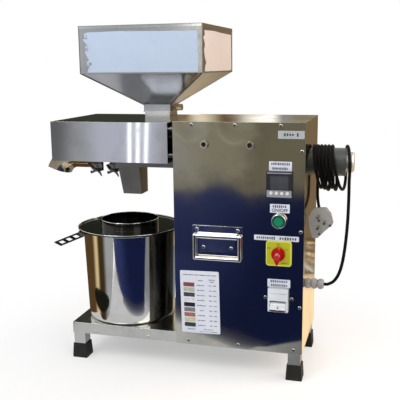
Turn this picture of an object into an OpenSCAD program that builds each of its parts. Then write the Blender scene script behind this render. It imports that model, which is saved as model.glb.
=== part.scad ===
// Screw oil press for a kitchen counter: a cabinet with a geared motor drives a screw in a heated
// barrel on its left, under a sheet cover. Seed falls in from the hopper, oil runs down the spout
// through a sieve into a pot, and the pressed cake leaves by a chute at the far end.
// Millimetres, +Z up, front of the cabinet towards -Y. The origin is on the floor, in the middle of
// the space that the press takes up without its mains lead.

/* [Cabinet] */
// Width of the cabinet
cabinet_w = 250; // [220:1:300]
// Depth of the cabinet, front face to rear face
cabinet_d = 200; // [190:1:230]
// Height of the front panel
panel_h = 440; // [400:1:480]
// Thickness of the cabinet and tray sheet
sheet_t = 1.5; // [1:0.1:2]
// Width of the folded edges that the panels screw to
fold_w = 16; // [12:1:20]
// Radius of a panel screw's head
screw_head_r = 3.6; // [3:0.1:4.5]
// Radius of a panel screw's thread
screw_r = 1.6; // [1.2:0.1:2]
// Length of a panel screw's thread
screw_l = 8; // [6:0.5:12]

/* [Base] */
// How far the tray reaches to the left of the cabinet
tray_reach = 225; // [210:1:260]
// Height of the folded edge around the tray
tray_h = 22.5; // [18:0.5:30]
// Side of a square leg
leg_w = 24; // [18:1:30]
// Bare height of leg between the tray and the rubber foot
leg_show = 24; // [10:1:40]
// Height of a rubber foot
foot_h = 30; // [22:1:40]
// Rubber left under the leg's end
foot_sole = 8; // [4:1:14]
// Width of a rubber foot at its top
foot_top_w = 28; // [27:0.5:36]
// Width of a rubber foot on the floor
foot_w = 31; // [28:0.5:40]

/* [Barrel and screw] */
// Height of the cabinet's top above the screw's axis
axis_drop = 53; // [48:1:70]
// Length of the barrel outside the cabinet
barrel_l = 240; // [225:1:270]
// Outer radius of the barrel
barrel_r = 30; // [27:0.5:32]
// Radius of the barrel's bore
bore_r = 20; // [16:0.5:22]
// Gap between the screw's flight and the bore
flight_gap = 0.5; // [0.3:0.05:1]
// Radius of the screw's root at the feed end
root_r = 11; // [9:0.5:13]
// Radius of the screw's root at the press head
root_end_r = 15; // [13:0.5:15]
// Advance of the flight in one turn
flight_pitch = 30; // [24:1:40]
// Thickness of the flight at its tip
flight_t = 5; // [3:0.5:8]
// Radius of the barrel's flange on the cabinet
flange_r = 44; // [40:0.5:48]
// Thickness of the barrel's flange
flange_t = 6; // [5:0.5:6.5]
// Length of the press head on the barrel's end
head_l = 14; // [10:1:20]
// Width of an oil slot in the barrel
oil_slot_w = 1.2; // [0.8:0.1:2]
// Number of oil slots
oil_slots = 9; // [5:1:12]

/* [Heater bands] */
// Width of a heater band
band_w = 26; // [20:1:27]
// Thickness of a heater band
band_t = 3.5; // [2.5:0.5:5]
// Distance between the two bands, middle to middle
band_step = 38; // [30:1:38]
// Distance from the barrel's end to the middle of the far band
band_end = 42; // [41:0.5:43]
// Depth of the clamp ears under a band
ear_h = 26; // [20:1:32]
// Gap between the two ears of a clamp
ear_gap = 8; // [5:0.5:12]

/* [Cover] */
// How far the cover reaches past the barrel's end
cover_past = 7; // [6.5:0.5:9]
// Depth of the barrel cover
cover_d = 222; // [200:1:240]
// Height of the barrel cover
cover_h = 77; // [70:1:90]
// Gap between the cover and the cabinet
cover_gap = 7; // [7:0.5:12]
// How far the cover's top lies under the cabinet's top
cover_drop = 2; // [0:0.5:6]

/* [Hopper] */
// Distance from the cabinet to the middle of the feed neck
neck_x = 55; // [50:1:66]
// Width of the feed neck, along the barrel
neck_w = 52; // [44:1:60]
// Depth of the feed neck
neck_d = 50; // [44:1:60]
// Bare height of neck between the cover and the hopper's collar
neck_show = 16; // [10:1:30]
// Height of the hopper's collar
collar_h = 13; // [10:1:24]
// Gap between the collar and the neck
collar_gap = 0.4; // [0.3:0.05:0.8]
// Width of the hopper
hopper_w = 240; // [200:1:280]
// Depth of the hopper
hopper_d = 236; // [200:1:280]
// Height of the hopper's sloping part
cone_h = 63; // [50:1:90]
// Height of the hopper's upright part
hopper_h = 87; // [60:1:120]
// Width of the rim folded in around the hopper's top
rim_w = 6; // [4:0.5:10]
// Thickness of the hopper's sheet
hopper_t = 1.2; // [1:0.1:2]
// How far the hopper lifts before it is clear of its neck
hopper_lift = 60; // [40:1:100]

/* [Oil spout] */
// Width of the oil pan under the barrel
pan_d = 60; // [52:1:66]
// Depth of the oil pan
pan_h = 15; // [10:1:20]
// Distance from the barrel's far end to the spout's left face
spout_end = 97; // [96:1:104]
// Width of the spout at its top
spout_w = 46; // [38:1:48]
// Width of the spout at its mouth
mouth_w = 40; // [30:1:44]
// Depth of the spout at its top
spout_d = 50; // [40:1:52]
// Depth of the spout's mouth
mouth_d = 38; // [28:1:48]
// How far the mouth lies to the right of the spout's middle
mouth_shift = 5; // [0:1:8]
// Height of the spout under the pan
spout_h = 58; // [40:1:80]

/* [Cake chute] */
// Radius of the chute's half pipe, outside
chute_r = 25; // [22:0.5:27]
// Radius of the chute's bend, at the middle of the pipe
bend_r = 44; // [40:1:60]
// Angle that the chute bends through
bend_a = 70; // [50:1:80]
// Height of the chute's sides above the middle of its pipe
chute_side = 18; // [12:0.5:20]
// Height of the sides along the straight start
start_side = 10; // [9:0.5:10]
// Length of the straight start of the chute
chute_start = 28; // [22:1:30]

/* [Drive] */
// Height of the screw's axis above the motor's axis
motor_drop = 29; // [27:0.5:31]
// Radius of the motor
motor_r = 27; // [24:0.5:30]
// How far the motor stands out of the cabinet
motor_out = 66; // [55:1:80]
// Length of the motor's end cap
cap_l = 15; // [10:1:20]
// Radius of the motor's end cap
cap_r = 19.5; // [16:0.5:22]
// Gear module
gear_m = 1.25; // [1.2:0.05:1.3]
// Teeth on the gear of the screw
screw_teeth = 58; // [56:1:60]
// Teeth on the small wheel of the idler
idler_small = 17; // [17:1:19]
// Teeth on the large wheel of the idler
idler_large = 61; // [59:1:63]
// Teeth on the motor's pinion
motor_teeth = 17; // [17:1:19]
// Width of the slow gears
slow_face = 20; // [14:1:22]
// Width of the fast gears
fast_face = 12; // [9:1:14]
// Play between meshing teeth
backlash = 0.25; // [0.2:0.05:0.35]
// Radius of the screw's journal
journal_r = 10; // [9:0.5:11]
// Radius of the idler's journals
idler_r = 5; // [4:0.5:6]
// Radius of the motor's shaft
motor_shaft_r = 4; // [3.5:0.5:5]
// Running clearance of a journal in its bearing
run_gap = 0.05; // [0.03:0.01:0.1]
// Wall of the gearbox
case_t = 6; // [5:0.5:8]
// Distance from the cabinet's left face to the gearbox
case_x = 45; // [40:1:55]
// Distance between the two bolts that hold the gearbox to the front panel
bolt_step = 87; // [80:1:90]

/* [Pot and sieve] */
// Distance from the cabinet to the middle of the pot
pot_x = 128; // [125:1:140]
// How far the pot stands in front of the barrel's axis
pot_front = 6; // [0:1:10]
// Radius of the pot at its top
pot_r = 97; // [80:1:100]
// Radius of the pot at its bottom
pot_base_r = 91; // [75:1:95]
// Height of the pot
pot_h = 189; // [150:1:200]
// Wall of the pot
pot_t = 1; // [0.8:0.1:1.5]
// Width of the pot's rolled rim
pot_rim = 3; // [2:0.5:5]
// Radius of the round between the pot's floor and wall
pot_round = 8; // [5:0.5:12]
// Distance that the pot slides out to the front
pot_travel = 160; // [100:5:250]
// Radius of the sieve's dish
dish_r = 108; // [103:0.5:112]
// Radius of the sieve's collar
ring_r = 60; // [45:1:70]
// Height of the sieve's collar above its dish
ring_h = 17; // [10:1:24]
// Depth of the screen under the dish
screen_drop = 14; // [8:1:30]
// Radius of a hole in the screen
screen_hole_r = 2.2; // [1.5:0.1:2.5]
// Distance between holes in the screen
screen_step = 8; // [7:0.5:10]
// Length of the sieve's strap handle
strap_l = 52; // [44:1:70]
// Width of the sieve's strap handle
strap_w = 32; // [26:1:36]
// Slope of the strap handle
strap_a = 13; // [0:1:30]
// Turn of the handle from the left towards the front
strap_turn = 50; // [0:5:70]
// Height that the sieve lifts out of the pot
sieve_lift = 34; // [20:1:40]

/* [Controls] */
// Distance from the cabinet's right face to the column of controls
control_inset = 46; // [43:1:60]
// Height of the temperature controller above the floor
controller_z = 381; // [370:1:390]
// Side of the temperature controller
controller_w = 48; // [44:1:52]
// Diameter of a controller key
key_d = 6.4; // [5:0.2:7]
// Travel of a controller key
key_travel = 0.8; // [0.5:0.1:1.2]
// Height of the heater button above the floor
button_z = 313; // [308:1:318]
// Diameter of the heater button's collar
button_collar_d = 29; // [26:0.5:32]
// Diameter of the heater button's cap
button_d = 22; // [18:0.5:23]
// Travel of the heater button
button_travel = 3; // [2:0.25:4]
// Height of the direction switch above the floor
switch_z = 251; // [244:1:256]
// Side of the direction switch's plate
switch_w = 48; // [44:1:52]
// Turn of the direction switch to each side
switch_turn = 60; // [45:15:60]
// Height of the breaker above the floor
breaker_z = 161; // [155:1:168]
// Width of the breaker
breaker_w = 38; // [34:1:40]
// Height of the breaker's front
breaker_h = 45; // [42:1:48]
// Turn of the breaker's levers
lever_turn = 56; // [40:2:60]

/* [Carry handle] */
// Distance from the cabinet's left face to the middle of the carry handle
handle_x = 86; // [80:1:95]
// Height of the carry handle's hinge above the floor
handle_z = 278; // [270:1:290]
// Length of the carry handle's hinge
handle_w = 98; // [88:1:104]
// Length of the handle's bail below the hinge
bail_h = 48; // [40:1:60]
// Radius of the bail's bar
bail_r = 4; // [3:0.25:5]
// Turn of the bail, up from the panel
bail_turn = 95; // [60:5:110]

/* [Mains lead] */
// Diameter of the mains lead
cord_d = 6; // [5:0.5:6]
// Number of loops of lead hung on the motor
cord_loops = 6; // [4:1:7]
// Distance between neighbouring loops
loop_step = 6.9; // [6.7:0.1:7.6]
// How far the foot of each loop leans away from the cabinet
loop_lean = 6; // [0:0.5:8]
// How much lower the deepest loops hang
loop_sag = 5; // [0:0.5:8]
// How far the loops hang under the motor
loop_hang = 20; // [16:1:24]
// Height of the cable gland above the floor
gland_z = 190; // [180:1:200]
// Distance from the front panel to the cable gland
gland_y = 24; // [22:1:30]
// Diameter of the cable gland's nut
gland_d = 21; // [18:0.5:24]
// Length of the cable gland outside the cabinet
gland_l = 36; // [30:1:40]

/* [Hidden] */
$fn = 64;
EPS = 0.01;

// Heights above the floor, with x = 0 at the cabinet's left face and y = 0 at its front face
base_z = foot_h + leg_show;
tray_top = base_z + tray_h;
cabinet_top = base_z + panel_h;
control_x = cabinet_w - control_inset;
axis_y = cabinet_d / 2;
axis_z = cabinet_top - axis_drop;
motor_z = axis_z - motor_drop;
cover_top = cabinet_top - cover_drop;
cover_z = cover_top - cover_h;
cover_l = barrel_l + cover_past - cover_gap;
spout_x = barrel_l - spout_end - spout_w;
collar_z = cover_top + neck_show;
cone_z = collar_z + collar_h;
hopper_z = cone_z + cone_h;
hopper_top = hopper_z + hopper_h;

// Small sizes that are the same on every press
fit_gap = 0.1;
clear_gap = 1;
weld = 0.2;
leg_t = 1.5;
strap_root = 6;
strap_t = 2;
switch_t = 2.5;
knob_gap = 0.3;
knob_base = 7;
knob_grip = 14;

// Middle of the space that the press takes up without its mains lead
bend_start = 4;
chute_x = -barrel_l - bend_start;
chute_tip = chute_x - (bend_r + chute_side) * sin(bend_a);
strap_reach = dish_r + strap_root + strap_l * cos(strap_a);
sieve_left = -pot_x - strap_reach * cos(strap_turn) - strap_w / 2 * sin(strap_turn);
knob_front = -switch_t - knob_gap - knob_base - knob_grip;
pot_y = axis_y - pot_front;
sieve_front = pot_y - strap_reach * sin(strap_turn) - strap_w / 2 * cos(strap_turn);
box_left = min(chute_tip, sieve_left);
box_right = cabinet_w + motor_out + cap_l;
box_front = min(axis_y - hopper_d / 2, knob_front, axis_y - cover_d / 2, pot_y - dish_r, sieve_front);
box_rear = max(axis_y + hopper_d / 2, cabinet_d, axis_y + cover_d / 2);
origin_x = (box_left + box_right) / 2;
origin_y = (box_front + box_rear) / 2;

module place() {
    translate([-origin_x, -origin_y, 0]) children();
}

// A box given by its two corners
module block(low, high) {
    translate(low) cube(high - low);
}

// Local z along +X, local x along +Y and local y along +Z
module along_x(at) {
    translate(at) rotate([90, 0, 90]) children();
}

// Local z along +Y, towards the back
module along_y(at) {
    translate(at) rotate([-90, 0, 0]) children();
}

// Local z along -Y, towards the front
module to_front(at) {
    translate(at) rotate([90, 0, 0]) children();
}

// A four-sided taper: front outline in x and z, side outline in y and z
module taper(front, side, x_span, y_span) {
    intersection() {
        translate([0, y_span[1], 0])
            rotate([90, 0, 0]) linear_extrude(y_span[1] - y_span[0]) polygon(front);
        along_x([x_span[0], 0, 0]) linear_extrude(x_span[1] - x_span[0]) polygon(side);
    }
}

// The outline of a symmetric taper: half widths and heights from the bottom up
function taper_outline(mid, half, z) = concat(
    [for (i = [0:len(z) - 1]) [mid + half[i], z[i]]],
    [for (i = [len(z) - 1:-1:0]) [mid - half[i], z[i]]]
);

// Places of the panel screws: along the top, down the right edge, along the bottom and on the tray
top_screws = [37, 120, 205];
side_screws = [93, 239, 388];
bottom_screws = [26, 126, 234];
tray_screws = [-174, -60];
edge_inset = 6;
panel_screw_places = concat(
    [for (x = top_screws) [x, 0, cabinet_top - edge_inset]],
    [for (z = side_screws) [cabinet_w - edge_inset, 0, base_z + z]],
    [for (x = bottom_screws) [x, 0, base_z + edge_inset + 2]],
    [for (x = tray_screws) [x, sheet_t, base_z + edge_inset]]
);
handle_screw_places = [
    for (side = [-1, 1]) each [
        [handle_x + side * (handle_w / 2 - 9), 0, handle_z + 12],
        [handle_x + side * 27, 0, handle_z - 23]
    ]
];
breaker_screw_places = [for (side = [-1, 1]) [control_x + side * 25, 0, breaker_z + 2]];
bolt_x = case_x + 17;
bolt_z = axis_z + 11;
gearbox_bolt_places = [for (x = [bolt_x, bolt_x + bolt_step]) [x, 0, bolt_z]];
stud_places = [
    for (y = [20, cabinet_d - 20]) for (z = [cover_z + 12, cover_top - 15]) [0, y, z]
];

// Holes along +Y for screws at the given places
module screw_holes(places, r) {
    for (p = places) along_y(p - [0, clear_gap, 0]) cylinder(r = r + fit_gap, h = 3 * fold_w);
}

// A round-headed screw with a cross in its head, its face towards the front
module round_screw(at, head_r, r, l) {
    head_h = head_r * 0.5;
    difference() {
        union() {
            to_front(at) cylinder(r1 = head_r, r2 = head_r * 0.8, h = head_h);
            along_y(at) cylinder(r = r, h = l);
        }
        for (a = [45, 135])
            translate(at - [0, head_h, 0]) rotate([0, a, 0])
                cube([head_r * 1.2, head_h, head_r * 0.24], center = true);
    }
}

// Base, legs and feet
leg_xs = [-tray_reach + sheet_t, cabinet_w - 2 * sheet_t - leg_w];
leg_ys = [2 * sheet_t, cabinet_d - 2 * sheet_t - leg_w];

module base_tray() color("gainsboro") place() difference() {
    union() {
        difference() {
            block([-tray_reach, sheet_t, base_z], [cabinet_w - sheet_t, cabinet_d - sheet_t, tray_top]);
            block(
                [-tray_reach + sheet_t, 2 * sheet_t, base_z - clear_gap],
                [cabinet_w - 2 * sheet_t, cabinet_d - 2 * sheet_t, tray_top - sheet_t]
            );
        }
        for (x = leg_xs) for (y = leg_ys) difference() {
            block(
                [x - weld, y - weld, foot_sole],
                [x + leg_w + weld, y + leg_w + weld, tray_top - sheet_t + weld]
            );
            block(
                [x + leg_t, y + leg_t, foot_sole - clear_gap],
                [x + leg_w - leg_t, y + leg_w - leg_t, tray_top - sheet_t - clear_gap]
            );
        }
    }
    screw_holes(panel_screw_places, screw_r);
}

module foot(x, y) color("#1c1c1e") place() translate([x + leg_w / 2, y + leg_w / 2, 0]) {
    outline = taper_outline(0, [foot_w, foot_w, foot_top_w] / 2, [0, foot_h / 6, foot_h]);
    pocket = leg_w / 2 + weld + fit_gap;
    difference() {
        taper(outline, outline, [-foot_w, foot_w], [-foot_w, foot_w]);
        block([-pocket, -pocket, foot_sole], [pocket, pocket, foot_h + clear_gap]);
    }
}

// Cabinet panels
controller_body = controller_w - 3.5;
window_w = 34;
window_h = 25;
breaker_nose = [breaker_w, breaker_h];
breaker_gap = 0.5;

module front_panel() color("slategray") place() difference() {
    block([0, 0, base_z], [cabinet_w, sheet_t, cabinet_top]);
    screw_holes(panel_screw_places, screw_r);
    screw_holes(handle_screw_places, screw_r);
    screw_holes(breaker_screw_places, screw_r);
    screw_holes(gearbox_bolt_places, bolt_r);
    translate([control_x, 0, controller_z]) cube((controller_body + breaker_gap) * [1, 1, 1], center = true);
    along_y([control_x, -clear_gap, button_z]) cylinder(r = collar_thread_r + fit_gap, h = 4 * sheet_t);
    along_y([control_x, -clear_gap, switch_z]) cylinder(r = switch_shaft_r + breaker_gap, h = 4 * sheet_t);
    translate([control_x, 0, breaker_z])
        cube([breaker_w + 2 * breaker_gap, 4 * sheet_t, breaker_h + 2 * breaker_gap], center = true);
}

// A side panel with folds to the front and the rear, its outer face at x
module side_panel(x, inward, low) {
    far = x + inward * sheet_t;
    fold = x + inward * fold_w;
    block([min(x, far), sheet_t, low], [max(x, far), cabinet_d - sheet_t, cabinet_top - sheet_t]);
    for (y = [sheet_t, cabinet_d - 2 * sheet_t])
        block([min(x, fold), y, tray_top], [max(x, fold), y + sheet_t, cabinet_top - 2 * sheet_t - fold_w]);
}

module left_side_panel() color("silver") place() difference() {
    side_panel(0, 1, tray_top);
    along_x([-clear_gap, axis_y, axis_z]) cylinder(r = barrel_r + clear_gap, h = 4 * sheet_t);
    for (p = stud_places) along_x(p - [clear_gap, 0, 0]) cylinder(r = stud_r + fit_gap, h = 4 * sheet_t);
}

module right_side_panel() color("tan") place() difference() {
    side_panel(cabinet_w, -1, base_z);
    along_x([cabinet_w - 3 * sheet_t, axis_y, motor_z]) cylinder(r = motor_r + clear_gap, h = 5 * sheet_t);
    along_x([cabinet_w - 3 * sheet_t, gland_y, gland_z])
        cylinder(r = gland_thread_r + fit_gap, h = 5 * sheet_t);
    screw_holes(panel_screw_places, screw_r);
}

module rear_panel() color("silver") place() difference() {
    block([0, cabinet_d - sheet_t, base_z], [cabinet_w, cabinet_d, cabinet_top]);
    for (row = [0:vent_rows - 1]) for (col = [0:vent_cols - 1])
        translate([vent_x + col * vent_step_x, cabinet_d, vent_z + row * vent_step_z])
            cube([vent_w, 4 * sheet_t, vent_h], center = true);
}
vent_rows = 8;
vent_cols = 3;
vent_x = 65;
vent_z = 150;
vent_step_x = 60;
vent_step_z = 14;
vent_w = 44;
vent_h = 5;

module top_panel() color("darkgray") place() difference() {
    union() {
        block([0, sheet_t, cabinet_top - sheet_t], [cabinet_w, cabinet_d - sheet_t, cabinet_top]);
        for (y = [sheet_t, cabinet_d - 2 * sheet_t])
            block(
                [sheet_t + fit_gap, y, cabinet_top - sheet_t - fold_w],
                [cabinet_w - sheet_t - fit_gap, y + sheet_t, cabinet_top - sheet_t]
            );
    }
    screw_holes(panel_screw_places, screw_r);
}

module panel_screws() color("lightgray") place()
    for (p = panel_screw_places) round_screw(p, screw_head_r, screw_r, screw_l);

// Ring-headed bolts that hold the gearbox behind the front panel
bolt_r = 3;
bolt_head_r = 7.5;
bolt_head_h = 6;
module gearbox_bolts() color("lightgray") place() for (p = gearbox_bolt_places) {
    difference() {
        to_front(p) cylinder(r = bolt_head_r, h = bolt_head_h);
        to_front(p - [0, bolt_head_h / 3, 0]) cylinder(r = bolt_head_r * 0.6, h = bolt_head_h);
    }
    along_y(p - [0, weld, 0]) cylinder(r = bolt_r, h = sheet_t + rail_t - clear_gap);
}

// Temperature controller
controller_t = 6;
controller_back = 60;
window_t = 1.2;
window_z = controller_z + 4;
key_z = controller_z - 15;
key_step = 10;
key_hole = 5;
key_stand = 1.2;
key_gap = 0.2;
key_l = key_stand + key_hole - key_travel - clear_gap;
key_xs = [for (i = [0:3]) control_x + (i - 1.5) * key_step];

module controller_case() color("#26272b") place() difference() {
    union() {
        block(
            [control_x - controller_w / 2, -controller_t, controller_z - controller_w / 2],
            [control_x + controller_w / 2, 0, controller_z + controller_w / 2]
        );
        block(
            [control_x - controller_body / 2, -weld, controller_z - controller_body / 2],
            [control_x + controller_body / 2, controller_back, controller_z + controller_body / 2]
        );
    }
    translate([control_x, -controller_t, window_z]) cube([window_w, 2 * window_t, window_h], center = true);
    for (x = key_xs) to_front([x, key_hole - controller_t, key_z])
        cylinder(d = key_d + 2 * key_gap, h = 2 * key_hole);
}

module controller_window() color("#3a3d42") place()
    translate([control_x, window_t / 2 - controller_t, window_z])
        cube([window_w - 2 * fit_gap, window_t, window_h - 2 * fit_gap], center = true);

module controller_key(i) color("white") place()
    to_front([key_xs[i], key_l - key_stand - controller_t, key_z]) cylinder(d = key_d, h = key_l);

// Heater button
collar_thread_r = 11;
collar_out = 8;
collar_floor = 0.8;
collar_back = 16;
cap_stand = 2;
stem_r = 8;
module heater_button_collar() color("silver") place() difference() {
    union() {
        to_front([control_x, 0, button_z])
            cylinder(d1 = button_collar_d, d2 = button_collar_d - 3, h = collar_out);
        along_y([control_x, -weld, button_z]) cylinder(r = collar_thread_r, h = collar_back + weld);
    }
    to_front([control_x, -collar_floor, button_z]) cylinder(r = button_d / 2 + 0.3, h = collar_out);
    along_y([control_x, -collar_out, button_z]) cylinder(r = stem_r + run_gap, h = 4 * collar_back);
}

module heater_button_cap() color("seagreen") place() {
    head_back = collar_floor + button_travel + 0.4;
    to_front([control_x, -head_back, button_z]) cylinder(d = button_d, h = collar_out + cap_stand - head_back);
    along_y([control_x, -head_back - weld, button_z])
        cylinder(r = stem_r, h = head_back + weld + collar_back - button_travel - clear_gap);
}

module heater_button_block() color("#2b2b2e") place()
    block(
        [control_x - collar_thread_r, collar_back, button_z - collar_thread_r],
        [control_x + collar_thread_r, collar_back + 26, button_z + collar_thread_r]
    );

// Direction switch
switch_shaft_r = 4;
switch_shaft_l = 18;
knob_r = 13;
knob_tip = 18;
module switch_plate() color("gold") place() difference() {
    translate([control_x, -switch_t / 2, switch_z]) cube([switch_w, switch_t, switch_w], center = true);
    along_y([control_x, -2 * switch_t, switch_z]) cylinder(r = switch_shaft_r + breaker_gap, h = 3 * switch_t);
}

module switch_knob() color("firebrick") place() translate([control_x, -switch_t - knob_gap, switch_z]) {
    lens_r = (knob_tip * knob_tip + knob_r * knob_r / 4) / knob_r;
    to_front([0, 0, 0]) cylinder(r = knob_r, h = knob_base);
    to_front([0, -knob_base + weld, 0]) linear_extrude(knob_grip + weld) intersection_for (side = [-1, 1])
        translate([side * (lens_r - knob_r / 2), 0]) circle(r = lens_r, $fn = 96);
    along_y([0, -weld, 0]) cylinder(r = switch_shaft_r, h = switch_shaft_l);
}

module switch_block() color("#2b2b2e") place() difference() {
    side = switch_w - 6;
    block(
        [control_x - side / 2, sheet_t, switch_z - side / 2],
        [control_x + side / 2, sheet_t + 48, switch_z + side / 2]
    );
    along_y([control_x, 0, switch_z]) cylinder(r = switch_shaft_r + run_gap, h = switch_shaft_l + clear_gap);
}

// Breaker with two tied levers
nose_out = 8;
lever_r = 6;
lever_w = 30;
lever_l = 13;
lever_pin_r = 1.5;
lever_slot = 10.2;
lever_tilt = lever_turn / 2;
lever_y = -1;
lever_z = breaker_z - 11;
module breaker_body() color("whitesmoke") place() difference() {
    union() {
        block(
            [control_x - breaker_w / 2, -nose_out, breaker_z - breaker_h / 2],
            [control_x + breaker_w / 2, nose_out + weld, breaker_z + breaker_h / 2]
        );
        block(
            [control_x - breaker_w / 2, nose_out, breaker_z - 40],
            [control_x + breaker_w / 2, 68, breaker_z + 40]
        );
    }
    block(
        [control_x - lever_w / 2 - breaker_gap, -nose_out - clear_gap, lever_z - lever_slot],
        [control_x + lever_w / 2 + breaker_gap, lever_y + lever_r + breaker_gap, lever_z + lever_slot]
    );
    along_x([control_x - breaker_w / 2 + 2, lever_y, lever_z])
        cylinder(r = lever_pin_r + run_gap, h = breaker_w - 4);
}

module breaker_lever() color("white") place() translate([control_x, lever_y, lever_z]) {
    along_x([-lever_w / 2, 0, 0]) cylinder(r = lever_r, h = lever_w);
    along_x([-breaker_w / 2 + 3, 0, 0]) cylinder(r = lever_pin_r, h = breaker_w - 6);
    rotate([lever_tilt, 0, 0]) for (x = [-lever_w / 2, 1.5])
        block([x, -lever_l - 1, -3.5], [x + lever_w / 2 - 1.5, 0, 1.5]);
    rotate([lever_tilt, 0, 0]) block([-lever_w / 2, -lever_l - 1, -3.5], [lever_w / 2, -lever_l + 3, 0]);
}

module breaker_screws() color("lightgray") place()
    for (p = breaker_screw_places) round_screw(p, screw_head_r, screw_r, screw_l);

// Carry handle: a plate with a rolled edge, and a bail that turns in the roll
plate_t = 2;
roll_r = 5.5;
bail_pin_r = 3;
tongue_w = 70;
tongue_h = 32;
bail_half = handle_w / 2 - bail_r - 1;
roll_half = bail_half - bail_r - clear_gap;
module handle_plate() color("silver") place() difference() {
    union() {
        block([handle_x - handle_w / 2, -plate_t, handle_z - 1], [handle_x + handle_w / 2, 0, handle_z + 19]);
        block([handle_x - tongue_w / 2, -plate_t, handle_z - tongue_h], [handle_x + tongue_w / 2, 0, handle_z]);
        along_x([handle_x - roll_half, -roll_r, handle_z]) cylinder(r = roll_r, h = 2 * roll_half);
    }
    along_x([handle_x - handle_w, -roll_r, handle_z]) cylinder(r = bail_pin_r + run_gap, h = 2 * handle_w);
    for (side = [-1, 1]) translate([handle_x + side * handle_w / 2, -roll_r, handle_z])
        cube([2 * (handle_w / 2 - roll_half), 2 * roll_r, 2 * (bail_r + clear_gap)], center = true);
    translate([0, -plate_t, 0]) screw_holes(handle_screw_places, screw_r);
}

module handle_bail() color("silver") place() translate([handle_x, -roll_r, handle_z]) {
    low = bail_r - bail_h;
    along_x([-bail_half, 0, 0]) cylinder(r = bail_pin_r, h = 2 * bail_half);
    along_x([-bail_half, 0, low]) cylinder(r = bail_r, h = 2 * bail_half);
    for (side = [-1, 1]) translate([side * bail_half, 0, low]) {
        cylinder(r = bail_r, h = -low);
        sphere(r = bail_r);
        translate([0, 0, -low]) sphere(r = bail_r);
    }
}

module handle_screws() color("lightgray") place() translate([0, -plate_t, 0])
    for (p = handle_screw_places) round_screw(p, screw_head_r, screw_r, screw_l);

// Gear train: motor pinion, idler with two wheels, and the gear on the screw
pressure_a = 20;
gear_gap = 1;
pass_gap = 2;
slow_d = gear_m * (screw_teeth + idler_small) / 2;
fast_d = gear_m * (idler_large + motor_teeth) / 2;
idler_up = (motor_drop * motor_drop - slow_d * slow_d + fast_d * fast_d) / (2 * motor_drop);
idler_back = sqrt(fast_d * fast_d - idler_up * idler_up);
idler_y = axis_y + idler_back;
idler_z = motor_z + idler_up;
slow_a = atan2(idler_z - axis_z, idler_back);
fast_a = atan2(motor_z - idler_z, -idler_back);
slow_x = case_x + case_t + gear_gap;
fast_x = slow_x + slow_face + pass_gap;
lid_x = fast_x + fast_face + gear_gap;
motor_x = lid_x + case_t;

function involute(a) = tan(a) * 180 / PI - a;
function polar(r, a) = [r * cos(a), r * sin(a)];
// Half of the angle that a tooth takes up at radius r, on a gear with z teeth
function tooth_half(z, r) =
    (PI * gear_m / 2 - backlash) / (gear_m * z) * 180 / PI + involute(pressure_a)
    - involute(acos(min(1, gear_m * z / 2 * cos(pressure_a) / r)));
function gear_outline(z) =
    let (
        pitch_r = gear_m * z / 2,
        tip = pitch_r + 0.92 * gear_m,
        root = pitch_r - 1.25 * gear_m,
        low = max(pitch_r * cos(pressure_a), root + 0.1),
        flank = [low, (low + tip) / 2, tip]
    )
    [for (k = [0:z - 1]) let (a = 360 * k / z) each concat(
        [polar(root, a - tooth_half(z, low))],
        [for (r = flank) polar(r, a - tooth_half(z, r))],
        [for (i = [2:-1:0]) polar(flank[i], a + tooth_half(z, flank[i]))],
        [polar(root, a + tooth_half(z, low))]
    )];
module gear(z, face, turn) {
    rotate(turn) linear_extrude(face) polygon(gear_outline(z));
}

module motor_pinion() color("#8a8d91") place() {
    along_x([fast_x, axis_y, motor_z]) gear(motor_teeth, fast_face, fast_a + 180 + 180 / motor_teeth);
    along_x([fast_x, axis_y, motor_z]) cylinder(r = motor_shaft_r, h = motor_x + 20 - fast_x);
}

module idler_gear() color("#8a8d91") place() {
    along_x([slow_x, idler_y, idler_z])
        gear(idler_small, slow_face + pass_gap + weld, slow_a + 180 + 180 / idler_small);
    along_x([fast_x, idler_y, idler_z]) gear(idler_large, fast_face, fast_a);
    along_x([case_x + 2, idler_y, idler_z]) cylinder(r = idler_r, h = lid_x + 4 - case_x - 2);
}

module screw_gear() color("#9a9da1") place() along_x([slow_x, axis_y, axis_z]) difference() {
    gear(screw_teeth, slow_face, slow_a);
    translate([0, 0, -clear_gap]) cylinder(r = journal_r + run_gap, h = slow_face + 2 * clear_gap);
}

// Gearbox: an open case with a rail to the front panel, and a lid that carries the motor
case_room = 2;
tip_slow = gear_m * (screw_teeth / 2 + 1);
tip_fast = gear_m * (idler_large / 2 + 1);
room_y = [axis_y - tip_slow - case_room, idler_y + tip_fast + case_room];
room_z = [
    min(axis_z - tip_slow, idler_z - tip_fast) - case_room,
    max(axis_z + tip_slow, idler_z + tip_fast) + case_room
];
rail_t = 9;
rail_h = 24;
spindle_r = 5;
module gearbox_case() color("#6d7378") place() difference() {
    union() {
        block(
            [case_x, room_y[0] - case_t, room_z[0] - case_t],
            [lid_x, room_y[1] + case_t, room_z[1] + case_t]
        );
        block(
            [bolt_x - 12, sheet_t, bolt_z - rail_h / 2],
            [bolt_x + bolt_step + 12, sheet_t + rail_t, bolt_z + rail_h / 2]
        );
        block([bolt_x - 12, sheet_t, bolt_z - rail_h / 2], [lid_x, room_y[0], bolt_z + rail_h / 2]);
    }
    block([case_x + case_t, room_y[0], room_z[0]], [lid_x + clear_gap, room_y[1], room_z[1]]);
    along_x([case_x - clear_gap, axis_y, axis_z]) cylinder(r = journal_r + run_gap, h = 2 * case_t);
    along_x([case_x + 2 - fit_gap, idler_y, idler_z]) cylinder(r = idler_r + run_gap, h = case_t);
    for (p = gearbox_bolt_places) along_y(p) cylinder(r = bolt_r + fit_gap, h = sheet_t + rail_t - fit_gap);
}

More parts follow.
